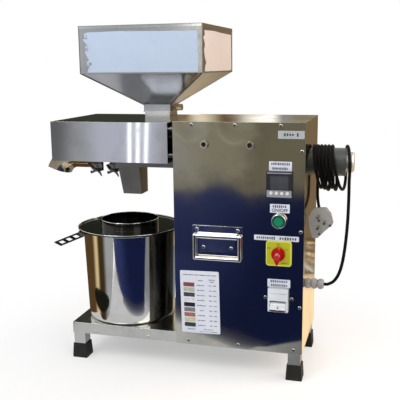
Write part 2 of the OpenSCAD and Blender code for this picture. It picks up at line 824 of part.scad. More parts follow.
module gearbox_cover() color("#7b8186") place() difference() {
    block([lid_x, room_y[0] - case_t, room_z[0] - case_t], [motor_x, room_y[1] + case_t, room_z[1] + case_t]);
    along_x([lid_x - clear_gap, axis_y, axis_z]) cylinder(r = spindle_r + run_gap, h = case_t);
    along_x([lid_x - clear_gap, idler_y, idler_z]) cylinder(r = idler_r + run_gap, h = case_t);
    along_x([lid_x - clear_gap, axis_y, motor_z])
        cylinder(r = gear_m * (motor_teeth / 2 + 1) + clear_gap, h = case_t + 2 * clear_gap);
}

motor_flange_t = 8;
motor_flange_w = 62;
module motor_housing() color("#3c4038") place() difference() {
    union() {
        translate([motor_x + motor_flange_t / 2, axis_y, motor_z])
            cube([motor_flange_t, motor_flange_w, motor_flange_w], center = true);
        along_x([motor_x, axis_y, motor_z]) cylinder(r = motor_r, h = cabinet_w + motor_out - motor_x);
    }
    along_x([motor_x - clear_gap, axis_y, motor_z]) cylinder(r = motor_shaft_r + run_gap, h = 22);
}

module motor_end_cap() color("#a9acae") place() along_x([cabinet_w + motor_out, axis_y, motor_z]) {
    cylinder(r = cap_r, h = cap_l - 3);
    translate([0, 0, cap_l - 3]) cylinder(r1 = cap_r, r2 = cap_r - 3, h = 3);
}

// Barrel, screw and press head
flight_r = bore_r - flight_gap;
feed_x = -10;
flight_end = -barrel_l + 2;
slot_step = 4;
module press_barrel() color("#8d8f92") place() difference() {
    union() {
        along_x([-barrel_l, axis_y, axis_z]) cylinder(r = barrel_r, h = barrel_l + case_x);
        along_x([-flange_t, axis_y, axis_z]) cylinder(r = flange_r, h = flange_t);
    }
    along_x([-barrel_l - clear_gap, axis_y, axis_z]) cylinder(r = bore_r, h = barrel_l + feed_x + clear_gap);
    along_x([feed_x - clear_gap, axis_y, axis_z])
        cylinder(r = journal_r + collar_gap, h = case_x - feed_x + 2 * clear_gap);
    block(
        [-neck_x - port_w / 2, axis_y - port_d / 2, axis_z],
        [-neck_x + port_w / 2, axis_y + port_d / 2, axis_z + 2 * barrel_r]
    );
    for (i = [0:oil_slots - 1])
        translate([-spout_x - spout_w / 2 + (i - (oil_slots - 1) / 2) * slot_step, axis_y, axis_z - barrel_r])
            cube([oil_slot_w, bore_r, 2 * (barrel_r - bore_r) + 4], center = true);
}
port_w = neck_w - 14;
port_d = bore_r * 1.4;

// A strip of trapezium section wound round the x axis from x0 to x1, standing on radius r0
module flight(x0, x1, r0, r1, pitch, tip) {
    steps = 16 * ceil((x1 - x0 - tip - 4) / pitch);
    wide = tip + 3;
    run = x1 - x0 - wide;
    section = [[r0, -wide / 2], [r1, -tip / 2], [r1, tip / 2], [r0, wide / 2]];
    points = [for (i = [0:steps]) let (x = x0 + wide / 2 + run * i / steps, a = 360 * run * i / steps / pitch)
        for (s = section) [x + s[1], s[0] * cos(a), s[0] * sin(a)]];
    faces = concat(
        [[0, 2, 1], [0, 3, 2]],
        [for (i = [0:steps - 1]) for (k = [0:3])
            let (a = 4 * i + k, b = 4 * i + (k + 1) % 4) each [[a, b, a + 4], [b, b + 4, a + 4]]],
        [[4 * steps, 4 * steps + 1, 4 * steps + 2], [4 * steps, 4 * steps + 2, 4 * steps + 3]]
    );
    polyhedron(points, faces);
}

module press_screw() color("#b9bbbd") place() {
    along_x([flight_end, axis_y, axis_z]) cylinder(r1 = root_end_r, r2 = root_r, h = feed_x - 2 - flight_end);
    along_x([feed_x - 2 - weld, axis_y, axis_z])
        cylinder(r = journal_r, h = slow_x + slow_face - feed_x + 2 + weld);
    along_x([slow_x + slow_face - weld, axis_y, axis_z])
        cylinder(r = spindle_r, h = lid_x + case_t - 2 - slow_x - slow_face);
    translate([0, axis_y, axis_z]) flight(flight_end, feed_x - 2, root_r - 3, flight_r, flight_pitch, flight_t);
}

module press_head() color("#77797c") place() along_x([-barrel_l - head_l, axis_y, axis_z]) difference() {
    cylinder(r = chute_r - 3, h = head_l);
    translate([0, 0, -clear_gap]) cylinder(r = bore_r - 8, h = head_l + 2 * clear_gap);
    translate([0, 0, head_l - 6]) cylinder(r1 = bore_r - 8, r2 = bore_r - 2, h = 6 + EPS);
}

// Heater bands, each split below and drawn together by a bolt with a wing nut
band_xs = [-barrel_l + band_end + band_step, -barrel_l + band_end];
ear_w = 18;
ear_t = 3;
clamp_r = 3;
clamp_z = axis_z - barrel_r - band_t - ear_h + 9;
module heater_band(x) color("#5a5c60") place() difference() {
    union() {
        along_x([x - band_w / 2, axis_y, axis_z]) cylinder(r = barrel_r + band_t, h = band_w);
        for (side = [-1, 1])
            translate([x, axis_y + side * (ear_gap + ear_t) / 2, axis_z - barrel_r - band_t - ear_h / 2])
                cube([ear_w, ear_t, ear_h + band_t], center = true);
    }
    along_x([x - band_w, axis_y, axis_z]) cylinder(r = barrel_r + fit_gap, h = 2 * band_w);
    translate([x, axis_y, axis_z - barrel_r - ear_h / 2]) cube([2 * band_w, ear_gap, 2 * ear_h], center = true);
    along_y([x, axis_y - 3 * ear_gap, clamp_z]) cylinder(r = clamp_r + fit_gap, h = 6 * ear_gap);
}

module heater_clamps() color("#c9cacc") place() for (x = band_xs) {
    ear_out = ear_gap / 2 + ear_t;
    along_y([x, axis_y - ear_out - 7, clamp_z]) cylinder(r = clamp_r, h = 2 * ear_out + 12);
    along_y([x, axis_y + ear_out, clamp_z]) cylinder(r = clamp_r + 3, h = 5, $fn = 6);
    to_front([x, axis_y - ear_out, clamp_z]) cylinder(r = clamp_r + 2.5, h = 5);
    for (side = [-1, 1]) to_front([x + side * 8, axis_y - ear_out - 1, clamp_z + 2]) cylinder(r = 5, h = 3);
}

// Oil pan under the barrel, with a tapered spout
pan_top = axis_z - barrel_r - clear_gap;
pan_z = pan_top - pan_h;
pan_lip = 2;
spout_left = -spout_x - spout_w;
spout_mid = -spout_x - spout_w / 2;
mouth_z = pan_z - spout_h;
module spout_form(inset, low, high) {
    front = [
        [spout_mid + mouth_shift - mouth_w / 2 + inset, low],
        [spout_mid + mouth_shift + mouth_w / 2 - inset, low],
        [-spout_x - inset, high], [spout_left + inset, high]
    ];
    side = taper_outline(axis_y, [mouth_d / 2 - inset, spout_d / 2 - inset], [low, high]);
    taper(front, side, [spout_left - spout_w, 0], [axis_y - pan_d, axis_y + pan_d]);
}
module oil_spout() color("#8b8c88") place() difference() {
    union() {
        block([spout_left - pan_lip, axis_y - pan_d / 2, pan_z], [-flange_t, axis_y + pan_d / 2, pan_top]);
        spout_form(0, mouth_z, pan_z + weld);
    }
    block(
        [spout_left - pan_lip + sheet_t, axis_y - pan_d / 2 + sheet_t, pan_z + sheet_t],
        [-flange_t - sheet_t, axis_y + pan_d / 2 - sheet_t, pan_top + clear_gap]
    );
    spout_form(sheet_t, mouth_z - EPS, pan_z + 2 * sheet_t);
}

// Cake chute: a trough of half-round section that bends down, held to the barrel by a ring
chute_t = 1.5;
chute_z = axis_z - motor_drop;
clip_w = 10;
clip_t = 2;
module trough_section(side) {
    difference() {
        union() {
            circle(r = chute_r);
            translate([0, -chute_r]) square([side, 2 * chute_r]);
        }
        circle(r = chute_r - chute_t);
        translate([0, chute_t - chute_r]) square([2 * side, 2 * (chute_r - chute_t)]);
        translate([side, -2 * chute_r]) square(4 * chute_r);
    }
}
module cake_chute() color("peru") place() {
    translate([chute_x, axis_y, chute_z - bend_r]) rotate([90, 0, 0]) rotate(90)
        rotate_extrude(angle = bend_a, $fn = 96) translate([bend_r, 0]) trough_section(chute_side);
    translate([chute_x - EPS, axis_y, chute_z]) rotate([0, 90, 0]) rotate(180)
        linear_extrude(chute_start) trough_section(start_side);
    difference() {
        along_x([chute_x + chute_start - clip_w, axis_y, axis_z]) cylinder(r = barrel_r + clip_t, h = clip_w);
        along_x([chute_x, axis_y, axis_z]) cylinder(r = barrel_r + fit_gap, h = 2 * chute_start);
    }
}

// Cover over the barrel, open below, with a slot for the barrel on the cabinet's side
cover_right = -cover_gap;
cover_left = cover_right - cover_l;
cover_front = axis_y - cover_d / 2;
cover_rear = axis_y + cover_d / 2;
module barrel_cover() color("lightsteelblue") place() difference() {
    block([cover_left, cover_front, cover_z], [cover_right, cover_rear, cover_top]);
    block(
        [cover_left + sheet_t, cover_front + sheet_t, cover_z - clear_gap],
        [cover_right - sheet_t, cover_rear - sheet_t, cover_top - sheet_t]
    );
    along_x([cover_right - 2 * sheet_t, axis_y, axis_z]) cylinder(r = barrel_r + clear_gap, h = 4 * sheet_t);
    block(
        [cover_right - 2 * sheet_t, axis_y - barrel_r - clear_gap, cover_z - clear_gap],
        [cover_right + clear_gap, axis_y + barrel_r + clear_gap, axis_z]
    );
    along_x([cover_left - clear_gap, axis_y, axis_z]) cylinder(r = chute_r + clear_gap, h = 3 * sheet_t);
    block(
        [cover_left - clear_gap, axis_y - chute_r - clear_gap, cover_z - clear_gap],
        [cover_left + 2 * sheet_t, axis_y + chute_r + clear_gap, axis_z]
    );
    block(
        [-neck_x - neck_w / 2 - neck_fit, axis_y - neck_d / 2 - neck_fit, cover_top - 2 * sheet_t],
        [-neck_x + neck_w / 2 + neck_fit, axis_y + neck_d / 2 + neck_fit, cover_top + clear_gap]
    );
    for (p = stud_places) along_x(p - [cover_gap + 3 * sheet_t, 0, 0])
        cylinder(r = stud_r + fit_gap, h = 6 * sheet_t);
}
neck_fit = 0.3;

// Studs with spacers that hold the cover off the cabinet
stud_r = 2.5;
module cover_standoffs() color("#9c9ea0") place() for (p = stud_places) {
    along_x(p - [cover_gap, 0, 0]) cylinder(r = 2 * stud_r, h = cover_gap);
    along_x(p - [cover_gap + sheet_t + 4, 0, 0]) cylinder(r = stud_r, h = cover_gap + 2 * sheet_t + 8);
    along_x(p - [cover_gap + sheet_t + 3, 0, 0]) cylinder(r = 2 * stud_r, h = 3, $fn = 6);
    along_x(p + [sheet_t, 0, 0]) cylinder(r = 2 * stud_r, h = 3, $fn = 6);
}

// Feed neck: a square tube that stands on the barrel, with a ledge for the hopper
neck_t = 1.5;
ledge = 2.5;
ledge_t = 2;
module neck_box(grow, low, high) {
    block(
        [-neck_x - neck_w / 2 - grow, axis_y - neck_d / 2 - grow, low],
        [-neck_x + neck_w / 2 + grow, axis_y + neck_d / 2 + grow, high]
    );
}
module feed_neck() color("lightgray") place() difference() {
    union() {
        neck_box(0, axis_z, cone_z - clear_gap);
        neck_box(ledge, collar_z - ledge_t, collar_z);
    }
    neck_box(-neck_t, axis_z - clear_gap, cone_z + clear_gap);
    along_x([-neck_x - neck_w, axis_y, axis_z]) cylinder(r = barrel_r + fit_gap, h = 2 * neck_w);
}

// Hopper: an upright box over a four-sided funnel, with a collar that slips over the neck
module hopper_form(inset, levels) {
    low_x = neck_w / 2 + collar_gap + hopper_t;
    low_y = neck_d / 2 + collar_gap + hopper_t;
    half_x = [low_x, low_x, hopper_w / 2, hopper_w / 2];
    half_y = [low_y, low_y, hopper_d / 2, hopper_d / 2];
    span = [hopper_w, hopper_d];
    taper(
        taper_outline(-neck_x, [for (h = half_x) h - inset], levels),
        taper_outline(axis_y, [for (h = half_y) h - inset], levels),
        [-neck_x - span[0], -neck_x + span[0]], [axis_y - span[1], axis_y + span[1]]
    );
}
module hopper() color("#b9c4d6") place() difference() {
    hopper_form(0, [collar_z, cone_z, hopper_z, hopper_top]);
    hopper_form(hopper_t, [collar_z - clear_gap, cone_z, hopper_z, hopper_top - hopper_t]);
    block(
        [-neck_x - hopper_w / 2 + rim_w, axis_y - hopper_d / 2 + rim_w, hopper_top - 2 * hopper_t],
        [-neck_x + hopper_w / 2 - rim_w, axis_y + hopper_d / 2 - rim_w, hopper_top + clear_gap]
    );
    along_x([-neck_x, axis_y, collar_z + collar_h / 2]) cylinder(r = knob_shank_r + run_gap, h = neck_w);
}

// Thumb screw in the hopper's collar
knob_shank_r = 3;
hopper_knob_r = 6.5;
hopper_knob_l = 12;
module hopper_knob() color("silver") place() {
    inner = -neck_x + neck_w / 2 + collar_gap + fit_gap;
    along_x([inner, axis_y, collar_z + collar_h / 2]) cylinder(r = knob_shank_r, h = 8);
    along_x([inner + 6, axis_y, collar_z + collar_h / 2]) difference() {
        cylinder(r = hopper_knob_r, h = hopper_knob_l);
        for (a = [0:30:330]) rotate(a) translate([hopper_knob_r + 0.6, 0, -clear_gap])
            cylinder(r = 1.2, h = 2 * hopper_knob_l);
    }
}

// Pot with rounded bottom and rolled rim
function arc(mid, r, from, to, steps) =
    [for (i = [0:steps]) mid + r * [cos(from + (to - from) * i / steps), sin(from + (to - from) * i / steps)]];
pot_top = tray_top + pot_h;
module oil_pot() color("lightslategray") place() translate([-pot_x, pot_y, tray_top])
rotate_extrude($fn = 128) {
    polygon(concat(
        [[0, 0]],
        arc([pot_base_r - pot_round, pot_round], pot_round, -90, 0, 6),
        [[pot_r, pot_h], [pot_r - pot_t, pot_h]],
        arc([pot_base_r - pot_round, pot_round], pot_round - pot_t, 0, -90, 6),
        [[0, pot_t]]
    ));
    translate([pot_r + pot_rim / 2 - pot_t, pot_h - pot_rim / 2]) circle(d = pot_rim, $fn = 24);
}

// Sieve: a wide dish with a raised collar, a screen below it, and a strap handle
dish_t = 1;
dish_lip = 3;
seat_gap = 0.3;
dish_z = pot_top + seat_gap;
screen_r = ring_r - dish_t;
guide_r = pot_r - 5;
guide_h = 6;
bracket_w = 18;
bracket_h = 5;
window_l = 10;
function screen_holes() = [
    for (i = [-8:8]) for (j = [-8:8])
        let (x = (i + j / 2) * screen_step, y = j * sqrt(3) / 2 * screen_step)
        if (norm([x, y]) < screen_r - screen_step) [x, y]
];
module sieve() color("slategray") place() translate([-pot_x, pot_y, dish_z]) {
    difference() {
        rotate_extrude($fn = 128) {
            translate([ring_r - dish_t, 0]) square([dish_r - ring_r + dish_t, dish_t]);
            translate([dish_r - dish_t, 0]) square([dish_t, dish_lip]);
            translate([ring_r - dish_t, -screen_drop]) square([dish_t, screen_drop + ring_h]);
            translate([guide_r - dish_t, -guide_h]) square([dish_t, guide_h + weld]);
            translate([0, -screen_drop]) square([ring_r, dish_t]);
        }
        for (h = screen_holes()) translate([h[0], h[1], -screen_drop - clear_gap])
            cylinder(r = screen_hole_r, h = dish_t + 2 * clear_gap, $fn = 24);
    }
    rotate(strap_turn) translate([-dish_r, 0, 0]) {
        block(
            [-strap_root, -bracket_w / 2, dish_lip - bracket_h - strap_t],
            [dish_t / 2, bracket_w / 2, dish_lip]
        );
        translate([-strap_root, 0, dish_lip - bracket_h]) rotate([0, -strap_a, 0]) difference() {
            block([-strap_l, -strap_w / 2, -strap_t], [strap_root / 2, strap_w / 2, 0]);
            for (x = [0.2, 0.5, 0.8]) translate([-strap_l * x, 0, 0])
                cube([window_l, strap_w - 10, 4 * strap_t], center = true);
        }
    }
}

// Mains lead: gland, lead up to the motor, loops hung on the motor, tail and plug
cord_r = cord_d / 2;
gland_thread_r = 7;
gland_x = cabinet_w + gland_l;
module cable_gland() color("#2e2f31") place() {
    along_x([cabinet_w - sheet_t - 8, gland_y, gland_z]) cylinder(r = gland_thread_r, h = 10 + sheet_t);
    along_x([cabinet_w, gland_y, gland_z]) cylinder(d = gland_d, h = 10, $fn = 6);
    along_x([cabinet_w + 10 - weld, gland_y, gland_z]) cylinder(d = gland_d - 3, h = 14);
    along_x([cabinet_w + 24 - weld, gland_y, gland_z])
        cylinder(r1 = gland_d / 2 - 2, r2 = cord_r + 1.5, h = gland_l - 24 + weld);
}

function unit(v) = v / norm(v);
function tangents(p) = [for (i = [0:len(p) - 1]) unit(p[min(i + 1, len(p) - 1)] - p[max(i - 1, 0)])];
function square_to(n, t) = unit(n - (n * t) * t);
function carried(t, up) =
    [for (i = 0, n = square_to(up, t[0]); i < len(t); i = i + 1, n = square_to(n, t[min(i, len(t) - 1)])) n];
// One tube swept along a path
module tube(path, r, sides, up) {
    t = tangents(path);
    n = carried(t, up);
    last = (len(path) - 1) * sides;
    points = [for (i = [0:len(path) - 1]) for (k = [0:sides - 1]) let (a = 360 * k / sides)
        path[i] + r * (cos(a) * n[i] + sin(a) * cross(t[i], n[i]))];
    faces = concat(
        [for (k = [1:sides - 2]) [0, k, k + 1]],
        [for (i = [0:len(path) - 2]) for (k = [0:sides - 1])
            let (a = i * sides + k, b = i * sides + (k + 1) % sides) each [[a, a + sides, b], [b, a + sides, b + sides]]],
        [for (k = [1:sides - 2]) [last, last + k + 1, last + k]]
    );
    polyhedron(points, faces);
}
// A smooth curve through route points, the first and last of which only set its direction
function smooth(p, parts) = concat(
    [for (i = [1:len(p) - 3]) for (s = [0:parts - 1]) let (u = s / parts)
        (2 * p[i] + (p[i + 1] - p[i - 1]) * u + (2 * p[i - 1] - 5 * p[i] + 4 * p[i + 1] - p[i + 2]) * u * u
        + (3 * p[i] - p[i - 1] - 3 * p[i + 1] + p[i + 2]) * u * u * u) / 2],
    [p[len(p) - 2]]
);
function eased(s) = s >= 1 ? 1 : s * s * (3 - 2 * s);

loop_rings = 24;
loop_open = 21;
loop_turns = cord_loops + 0.5;
loop_rest = 0.4;
loop_x = cabinet_w + 9;
loop_half_y = 36.5;
loop_top = motor_r + cord_r + loop_rest;
loop_low = motor_r + loop_hang + cord_r;
loop_half_z = (loop_top + loop_low) / 2;
loop_z = motor_z + (loop_top - loop_low) / 2;
function loop_grip(t) = eased(min(t, loop_turns - t) / 0.5);
function loop_point(t) = [
    loop_x + loop_step * (loop_turns - t) + loop_open * (1 - eased(t / 1.2))
        - loop_lean * sin(360 * t) * eased(t / 0.5),
    axis_y - loop_half_y * cos(360 * t),
    loop_z + loop_half_z * sin(360 * t)
        - loop_sag * (1 - sin(360 * t)) / 2 * (1 - cos(133 * t)) / 2 * loop_grip(t)
];
loop_points = [for (i = [0:loop_turns * loop_rings]) loop_point(i / loop_rings)];
winding_path = concat(
    [loop_points[0] - [0, 0, cord_d]], loop_points, [loop_points[len(loop_points) - 1] - [0, 0, cord_d]]
);
winding_gap = min([
    for (i = [0:len(loop_points) - 1]) for (j = [i + loop_rings / 2:len(loop_points) - 1])
        norm(loop_points[i] - loop_points[j])
]) - cord_d;
echo(winding_gap = winding_gap);

lead_route = [
    [cabinet_w + 36, 24, 190], [cabinet_w + 42, 24, 190], [cabinet_w + 54, 24, 197], [cabinet_w + 63, 25, 212],
    [cabinet_w + 69, 28, 235], [cabinet_w + 73, 36, 270], [cabinet_w + 75, 47, 310], [cabinet_w + 75, 58, 350],
    [cabinet_w + 74.5, 63, 380]
];
lead_path = concat(
    [[gland_x, gland_y, gland_z]],
    smooth(concat(lead_route, [winding_path[0] - [0, 0, cord_d], winding_path[0]]), 3),
    [winding_path[0]]
);
plug_at = [cabinet_w + 25, 52, 303];
plug_face_l = 14;
plug_back_l = 30;
plug_rear = plug_at + [-2, plug_back_l, 2];
tail_start = winding_path[len(winding_path) - 1];
tail_route = [
    [cabinet_w + 9, 136, 372], [cabinet_w + 9, 135, 352], [cabinet_w + 10, 131, 334], [cabinet_w + 14, 121, 317],
    [cabinet_w + 19, 107, 308]
];
tail_path = concat(
    [tail_start],
    smooth(concat([tail_start, tail_start - [0, 0, cord_d]], tail_route, [plug_rear + [0, cord_d, 0], plug_rear]), 3),
    [plug_rear]
);
module cord_lead() color("#18181a") place() tube(lead_path, cord_r, 8, [0, 1, 0]);
module cord_winding() color("#18181a") place() tube(winding_path, cord_r, 6, [1, 0, 0]);
module cord_tail() color("#18181a") place() tube(tail_path, cord_r, 8, [1, 0, 0]);

plug_outline = [[-22, 12], [-13, 27], [10, 28], [20, 15], [24, 0], [10, -13], [-4, -28], [-14, -29], [-20, -8]];
pin_places = [[-3, 14], [9, 4], [-3, -6]];
pin_r = 2.4;
pin_l = 18;
module plug_shape(inset) {
    offset(r = 4, $fn = 24) offset(delta = -4 - inset) polygon(plug_outline);
}
module plug_face() color("gainsboro") place() to_front(plug_at) linear_extrude(plug_face_l) plug_shape(0);
module plug_back() color("#2f3033") place() along_y(plug_at) mirror([0, 1, 0]) {
    linear_extrude(plug_back_l / 2) plug_shape(2);
    translate([0, 0, plug_back_l / 2 - weld]) linear_extrude(plug_back_l / 2 + weld) intersection() {
        plug_shape(6);
        translate([-2, 2]) circle(r = 12);
    }
}
module plug_pins() color("#c8b98a") place()
    for (p = pin_places) to_front(plug_at + [p[0], -plug_face_l, p[1]]) cylinder(r = pin_r, h = pin_l);

base_tray();
foot(leg_xs[0], leg_ys[0]);  // foot_front_left
foot(leg_xs[1], leg_ys[0]);  // foot_front_right
foot(leg_xs[0], leg_ys[1]);  // foot_rear_left
foot(leg_xs[1], leg_ys[1]);  // foot_rear_right
front_panel();
left_side_panel();
right_side_panel();
rear_panel();
top_panel();
panel_screws();
gearbox_bolts();
controller_case();
controller_window();
controller_key(0);  // controller_key_1
controller_key(1);  // controller_key_2
controller_key(2);  // controller_key_3
controller_key(3);  // controller_key_4
heater_button_collar();
heater_button_cap();
heater_button_block();
switch_plate();
switch_knob();
switch_block();
breaker_body();
breaker_lever();
breaker_screws();
handle_plate();
handle_bail();
handle_screws();
motor_housing();
motor_end_cap();
motor_pinion();
idler_gear();
screw_gear();
gearbox_case();
gearbox_cover();
press_screw();
press_barrel();
press_head();
heater_band(band_xs[0]);  // heater_band_near
heater_band(band_xs[1]);  // heater_band_far
heater_clamps();
oil_spout();
cake_chute();
barrel_cover();
cover_standoffs();
feed_neck();
hopper();
hopper_knob();
oil_pot();
sieve();
cable_gland();
cord_lead();
cord_winding();
cord_tail();
plug_face();
plug_back();
plug_pins();
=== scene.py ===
# %% [markdown]
# # A counter-top oil press
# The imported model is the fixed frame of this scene: every solid is already in place, in metres.
# The lesson goes from the camera and the mains lead to the stage, the finishes and the small parts.
# `at()` turns millimetres, counted from the cabinet's lower left front corner on the floor, into
# places in the frame, because the machine was measured from that corner.

# %% Load the frame
import bpy
import bmesh
import math
from mathutils import Matrix, Vector


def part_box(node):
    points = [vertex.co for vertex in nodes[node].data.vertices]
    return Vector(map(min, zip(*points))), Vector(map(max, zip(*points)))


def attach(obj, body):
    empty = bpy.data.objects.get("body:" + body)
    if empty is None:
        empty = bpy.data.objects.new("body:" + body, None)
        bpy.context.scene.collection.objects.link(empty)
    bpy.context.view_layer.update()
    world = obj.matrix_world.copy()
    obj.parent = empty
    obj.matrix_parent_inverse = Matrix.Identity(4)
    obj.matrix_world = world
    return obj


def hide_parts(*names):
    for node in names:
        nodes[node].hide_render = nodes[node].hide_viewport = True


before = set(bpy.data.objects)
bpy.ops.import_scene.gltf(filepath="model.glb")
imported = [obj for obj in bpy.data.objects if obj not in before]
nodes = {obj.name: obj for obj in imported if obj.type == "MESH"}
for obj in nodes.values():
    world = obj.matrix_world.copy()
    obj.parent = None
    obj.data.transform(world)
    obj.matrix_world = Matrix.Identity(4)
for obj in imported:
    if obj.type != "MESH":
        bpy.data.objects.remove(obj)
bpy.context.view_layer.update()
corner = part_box("front_panel")[0]


def at(x, y, z):
    return Vector((corner[0] + x / 1000, corner[1] + y / 1000, z / 1000))


# %% [markdown]
# ## Camera
# The press is seen from the front right and a little above. The place, the two angles, the small roll
# and the lens were fitted to the cabinet's edges and to the pot's circles, so the frame needs no shift.

# %% Camera
IMAGE_PIXELS, FOCAL_PIXELS = 400, 692.78
SENSOR_WIDTH = 36
CAMERA_PLACE = (400.82, -1241.08, 596.81)
YAW, PITCH, ROLL = (math.radians(angle) for angle in (15.68, 11.01, -0.63))


def new_object(name, data):
    made = bpy.data.objects.new(name, data)
    bpy.context.scene.collection.objects.link(made)
    return made


back = Vector((math.sin(YAW) * math.cos(PITCH), -math.cos(YAW) * math.cos(PITCH), math.sin(PITCH)))
right = Vector((math.cos(YAW), math.sin(YAW), 0))
up = back.cross(right)
turn_x = right * math.cos(ROLL) + up * math.sin(ROLL)
turn_y = up * math.cos(ROLL) - right * math.sin(ROLL)
camera_data = bpy.data.cameras.new("camera")
camera_data.sensor_width = SENSOR_WIDTH
camera_data.sensor_fit = "HORIZONTAL"
camera_data.lens = FOCAL_PIXELS / IMAGE_PIXELS * SENSOR_WIDTH
camera_data.clip_end = 50
camera = new_object("camera", camera_data)
turned = Matrix((turn_x, turn_y, back)).transposed().to_4x4()
camera.matrix_world = Matrix.Translation(at(*CAMERA_PLACE)) @ turned
bpy.context.scene.camera = camera
bpy.context.scene.view_settings.view_transform = "Standard"
print("lens", round(camera_data.lens, 2))

# %% [markdown]
# ## Mains lead
# The black lead leaves a gland low on the right side, rises in a bow, is wound over the motor and ends
# in the plug. It could be three tubes, but a real lead is one length, so it is one curve with a round
# bevel along the same route as the solids: a spline through points, then loops from a formula.

# %% Route of the lead
# Millimetres, turns and degrees: the loops step towards the cabinet, lean and sag, and the first one is open.
CORD = 6.0
LEAD_EXIT = (286, 24, 190)
LOOPS, LOOP_PARTS = 6.5, 48
LOOP_STEP, LOOP_OPEN, LOOP_X = 6.9, 21.0, 259.0
LOOP_LEAN, LOOP_SAG, SAG_TURN = 6.0, 5.0, 133
EASE_TURNS, OPEN_TURNS = 0.5, 1.2
LOOP_Y, LOOP_HALF_Y = 100.0, 36.5
LOOP_Z, LOOP_HALF_Z = 402.2, 40.2


def eased(s):
    return 1.0 if s >= 1 else s * s * (3 - 2 * s)


def loop_point(t):
    turn, grip = 2 * math.pi * t, eased(min(t, LOOPS - t) / EASE_TURNS)
    x = LOOP_X + LOOP_STEP * (LOOPS - t) + LOOP_OPEN * (1 - eased(t / OPEN_TURNS))
    x -= LOOP_LEAN * math.sin(turn) * eased(t / EASE_TURNS)
    sag = LOOP_SAG * (1 - math.sin(turn)) / 2 * (1 - math.cos(math.radians(SAG_TURN * t))) / 2 * grip
    return Vector((x, LOOP_Y - LOOP_HALF_Y * math.cos(turn), LOOP_Z + LOOP_HALF_Z * math.sin(turn) - sag))


def through(points, parts):
    line = []
    for i in range(1, len(points) - 2):
        a, b, c, d = points[i - 1:i + 3]
        for s in range(parts):
            u = s / parts
            bend = (2 * a - 5 * b + 4 * c - d) * u * u
            line.append((2 * b + (c - a) * u + bend + (3 * b - a - 3 * c + d) * u ** 3) / 2)
    return line + [points[-2]]


drop = Vector((0, 0, CORD))
loops = [loop_point(i / LOOP_PARTS) for i in range(int(LOOPS * LOOP_PARTS) + 1)]
loop_start, loop_end = loops[0] - drop, loops[-1] - drop
lead_route = [LEAD_EXIT, (292, 24, 190), (304, 24, 197), (313, 25, 212), (319, 28, 235), (323, 36, 270),
              (325, 47, 310), (325, 58, 350), (324.5, 63, 380)]
tail_route = [(259, 136, 372), (259, 135, 352), (260, 131, 334), (264, 121, 317), (269, 107, 308)]
plug_rear = Vector((273, 82, 305))
lead_points = [Vector(p) for p in lead_route] + [loop_start - drop, loop_start]
tail_points = [loop_end, loop_end - drop] + [Vector(p) for p in tail_route]
tail_points += [plug_rear + Vector((0, CORD, 0)), plug_rear]
lead = [Vector(LEAD_EXIT)] + through(lead_points, 3)
tail = through(tail_points, 3) + [plug_rear]
route = lead + [loop_start] + loops + [loop_end] + tail


# %% Curve of the lead
def tube(name, paths, sides):
    curve = bpy.data.curves.new(name, "CURVE")
    curve.dimensions = "3D"
    curve.bevel_depth = 1.0
    curve.bevel_resolution = sides
    curve.use_fill_caps = True
    for path in paths:
        spline = curve.splines.new("POLY")
        spline.points.add(len(path) - 1)
        spline.use_smooth = True
        for point, (x, y, z, radius) in zip(spline.points, path):
            point.co = (*at(x, y, z), 1)
            point.radius = radius / 1000
    return curve


mains_lead = new_object("mains_lead", tube("mains_lead", [[(*place, CORD / 2) for place in route]], 4))
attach(mains_lead, "cabinet")
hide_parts("cord_lead", "cord_winding", "cord_tail")

# %% [markdown]
# ## Stage and light
# Polished sheet has hardly any colour of its own: it shows what is around it, and a white studio alone
# would make it white. A photographer lays and stands coloured cards round such an object, and so does
# this stage: dark blue and grey ones in front, khaki and grey further off, gold and brown behind. Only
# reflections see the cards. They cast no light and no shadow, and the camera sees a pale floor and white.

# %% World
WORLD_LIGHT, SEEN_EXTRA = 0.55, 0.45


def fill(node, values):
    for label, value in values.items():
        node.inputs[label].default_value = value


def link_math(tree, operation, *values):
    node = tree.nodes.new("ShaderNodeMath")
    node.operation = operation
    for socket, value in zip(node.inputs, values):
        if isinstance(value, bpy.types.NodeSocket):
            tree.links.new(value, socket)
        else:
            socket.default_value = value
    return node.outputs[0]


world = bpy.data.worlds.new("studio")
bpy.context.scene.world = world
world.use_nodes = True
tree = world.node_tree
tree.nodes.clear()
path = tree.nodes.new("ShaderNodeLightPath").outputs
mirrored = link_math(tree, "MAXIMUM", path["Is Glossy Ray"], path["Is Transmission Ray"])
seen = link_math(tree, "MAXIMUM", path["Is Camera Ray"], mirrored)
background = tree.nodes.new("ShaderNodeBackground")
background.inputs["Color"].default_value = (1, 1, 1, 1)
tree.links.new(link_math(tree, "MULTIPLY_ADD", seen, SEEN_EXTRA, WORLD_LIGHT), background.inputs["Strength"])
tree.links.new(background.outputs[0], tree.nodes.new("ShaderNodeOutputWorld").inputs["Surface"])
print("world", world.name)

# %% Floor
FLOOR_HALF = 9
SHADOW_NEAR, SHADOW_FAR, WHITE_NEAR = 0.10, 0.62, 0.35


def new_material(name):
    material = bpy.data.materials.new(name)
    material.use_nodes = True
    material.node_tree.nodes.clear()
    return material, material.node_tree


def object_place(tree):
    return tree.nodes.new("ShaderNodeTexCoord").outputs["Object"]


def show(tree, shader):
    tree.links.new(shader.outputs[0], tree.nodes.new("ShaderNodeOutputMaterial").inputs["Surface"])


def mesh_object(name, points, faces):
    mesh = bpy.data.meshes.new(name)
    mesh.from_pydata(points, [], faces)
    mesh.update()
    return new_object(name, mesh)


def ranged(tree, value, limits, smooth=False):
    node = tree.nodes.new("ShaderNodeMapRange")
    if smooth:
        node.interpolation_type = "SMOOTHSTEP"
    fill(node, limits)
    tree.links.new(value, node.inputs["Value"])
    return node.outputs[0]


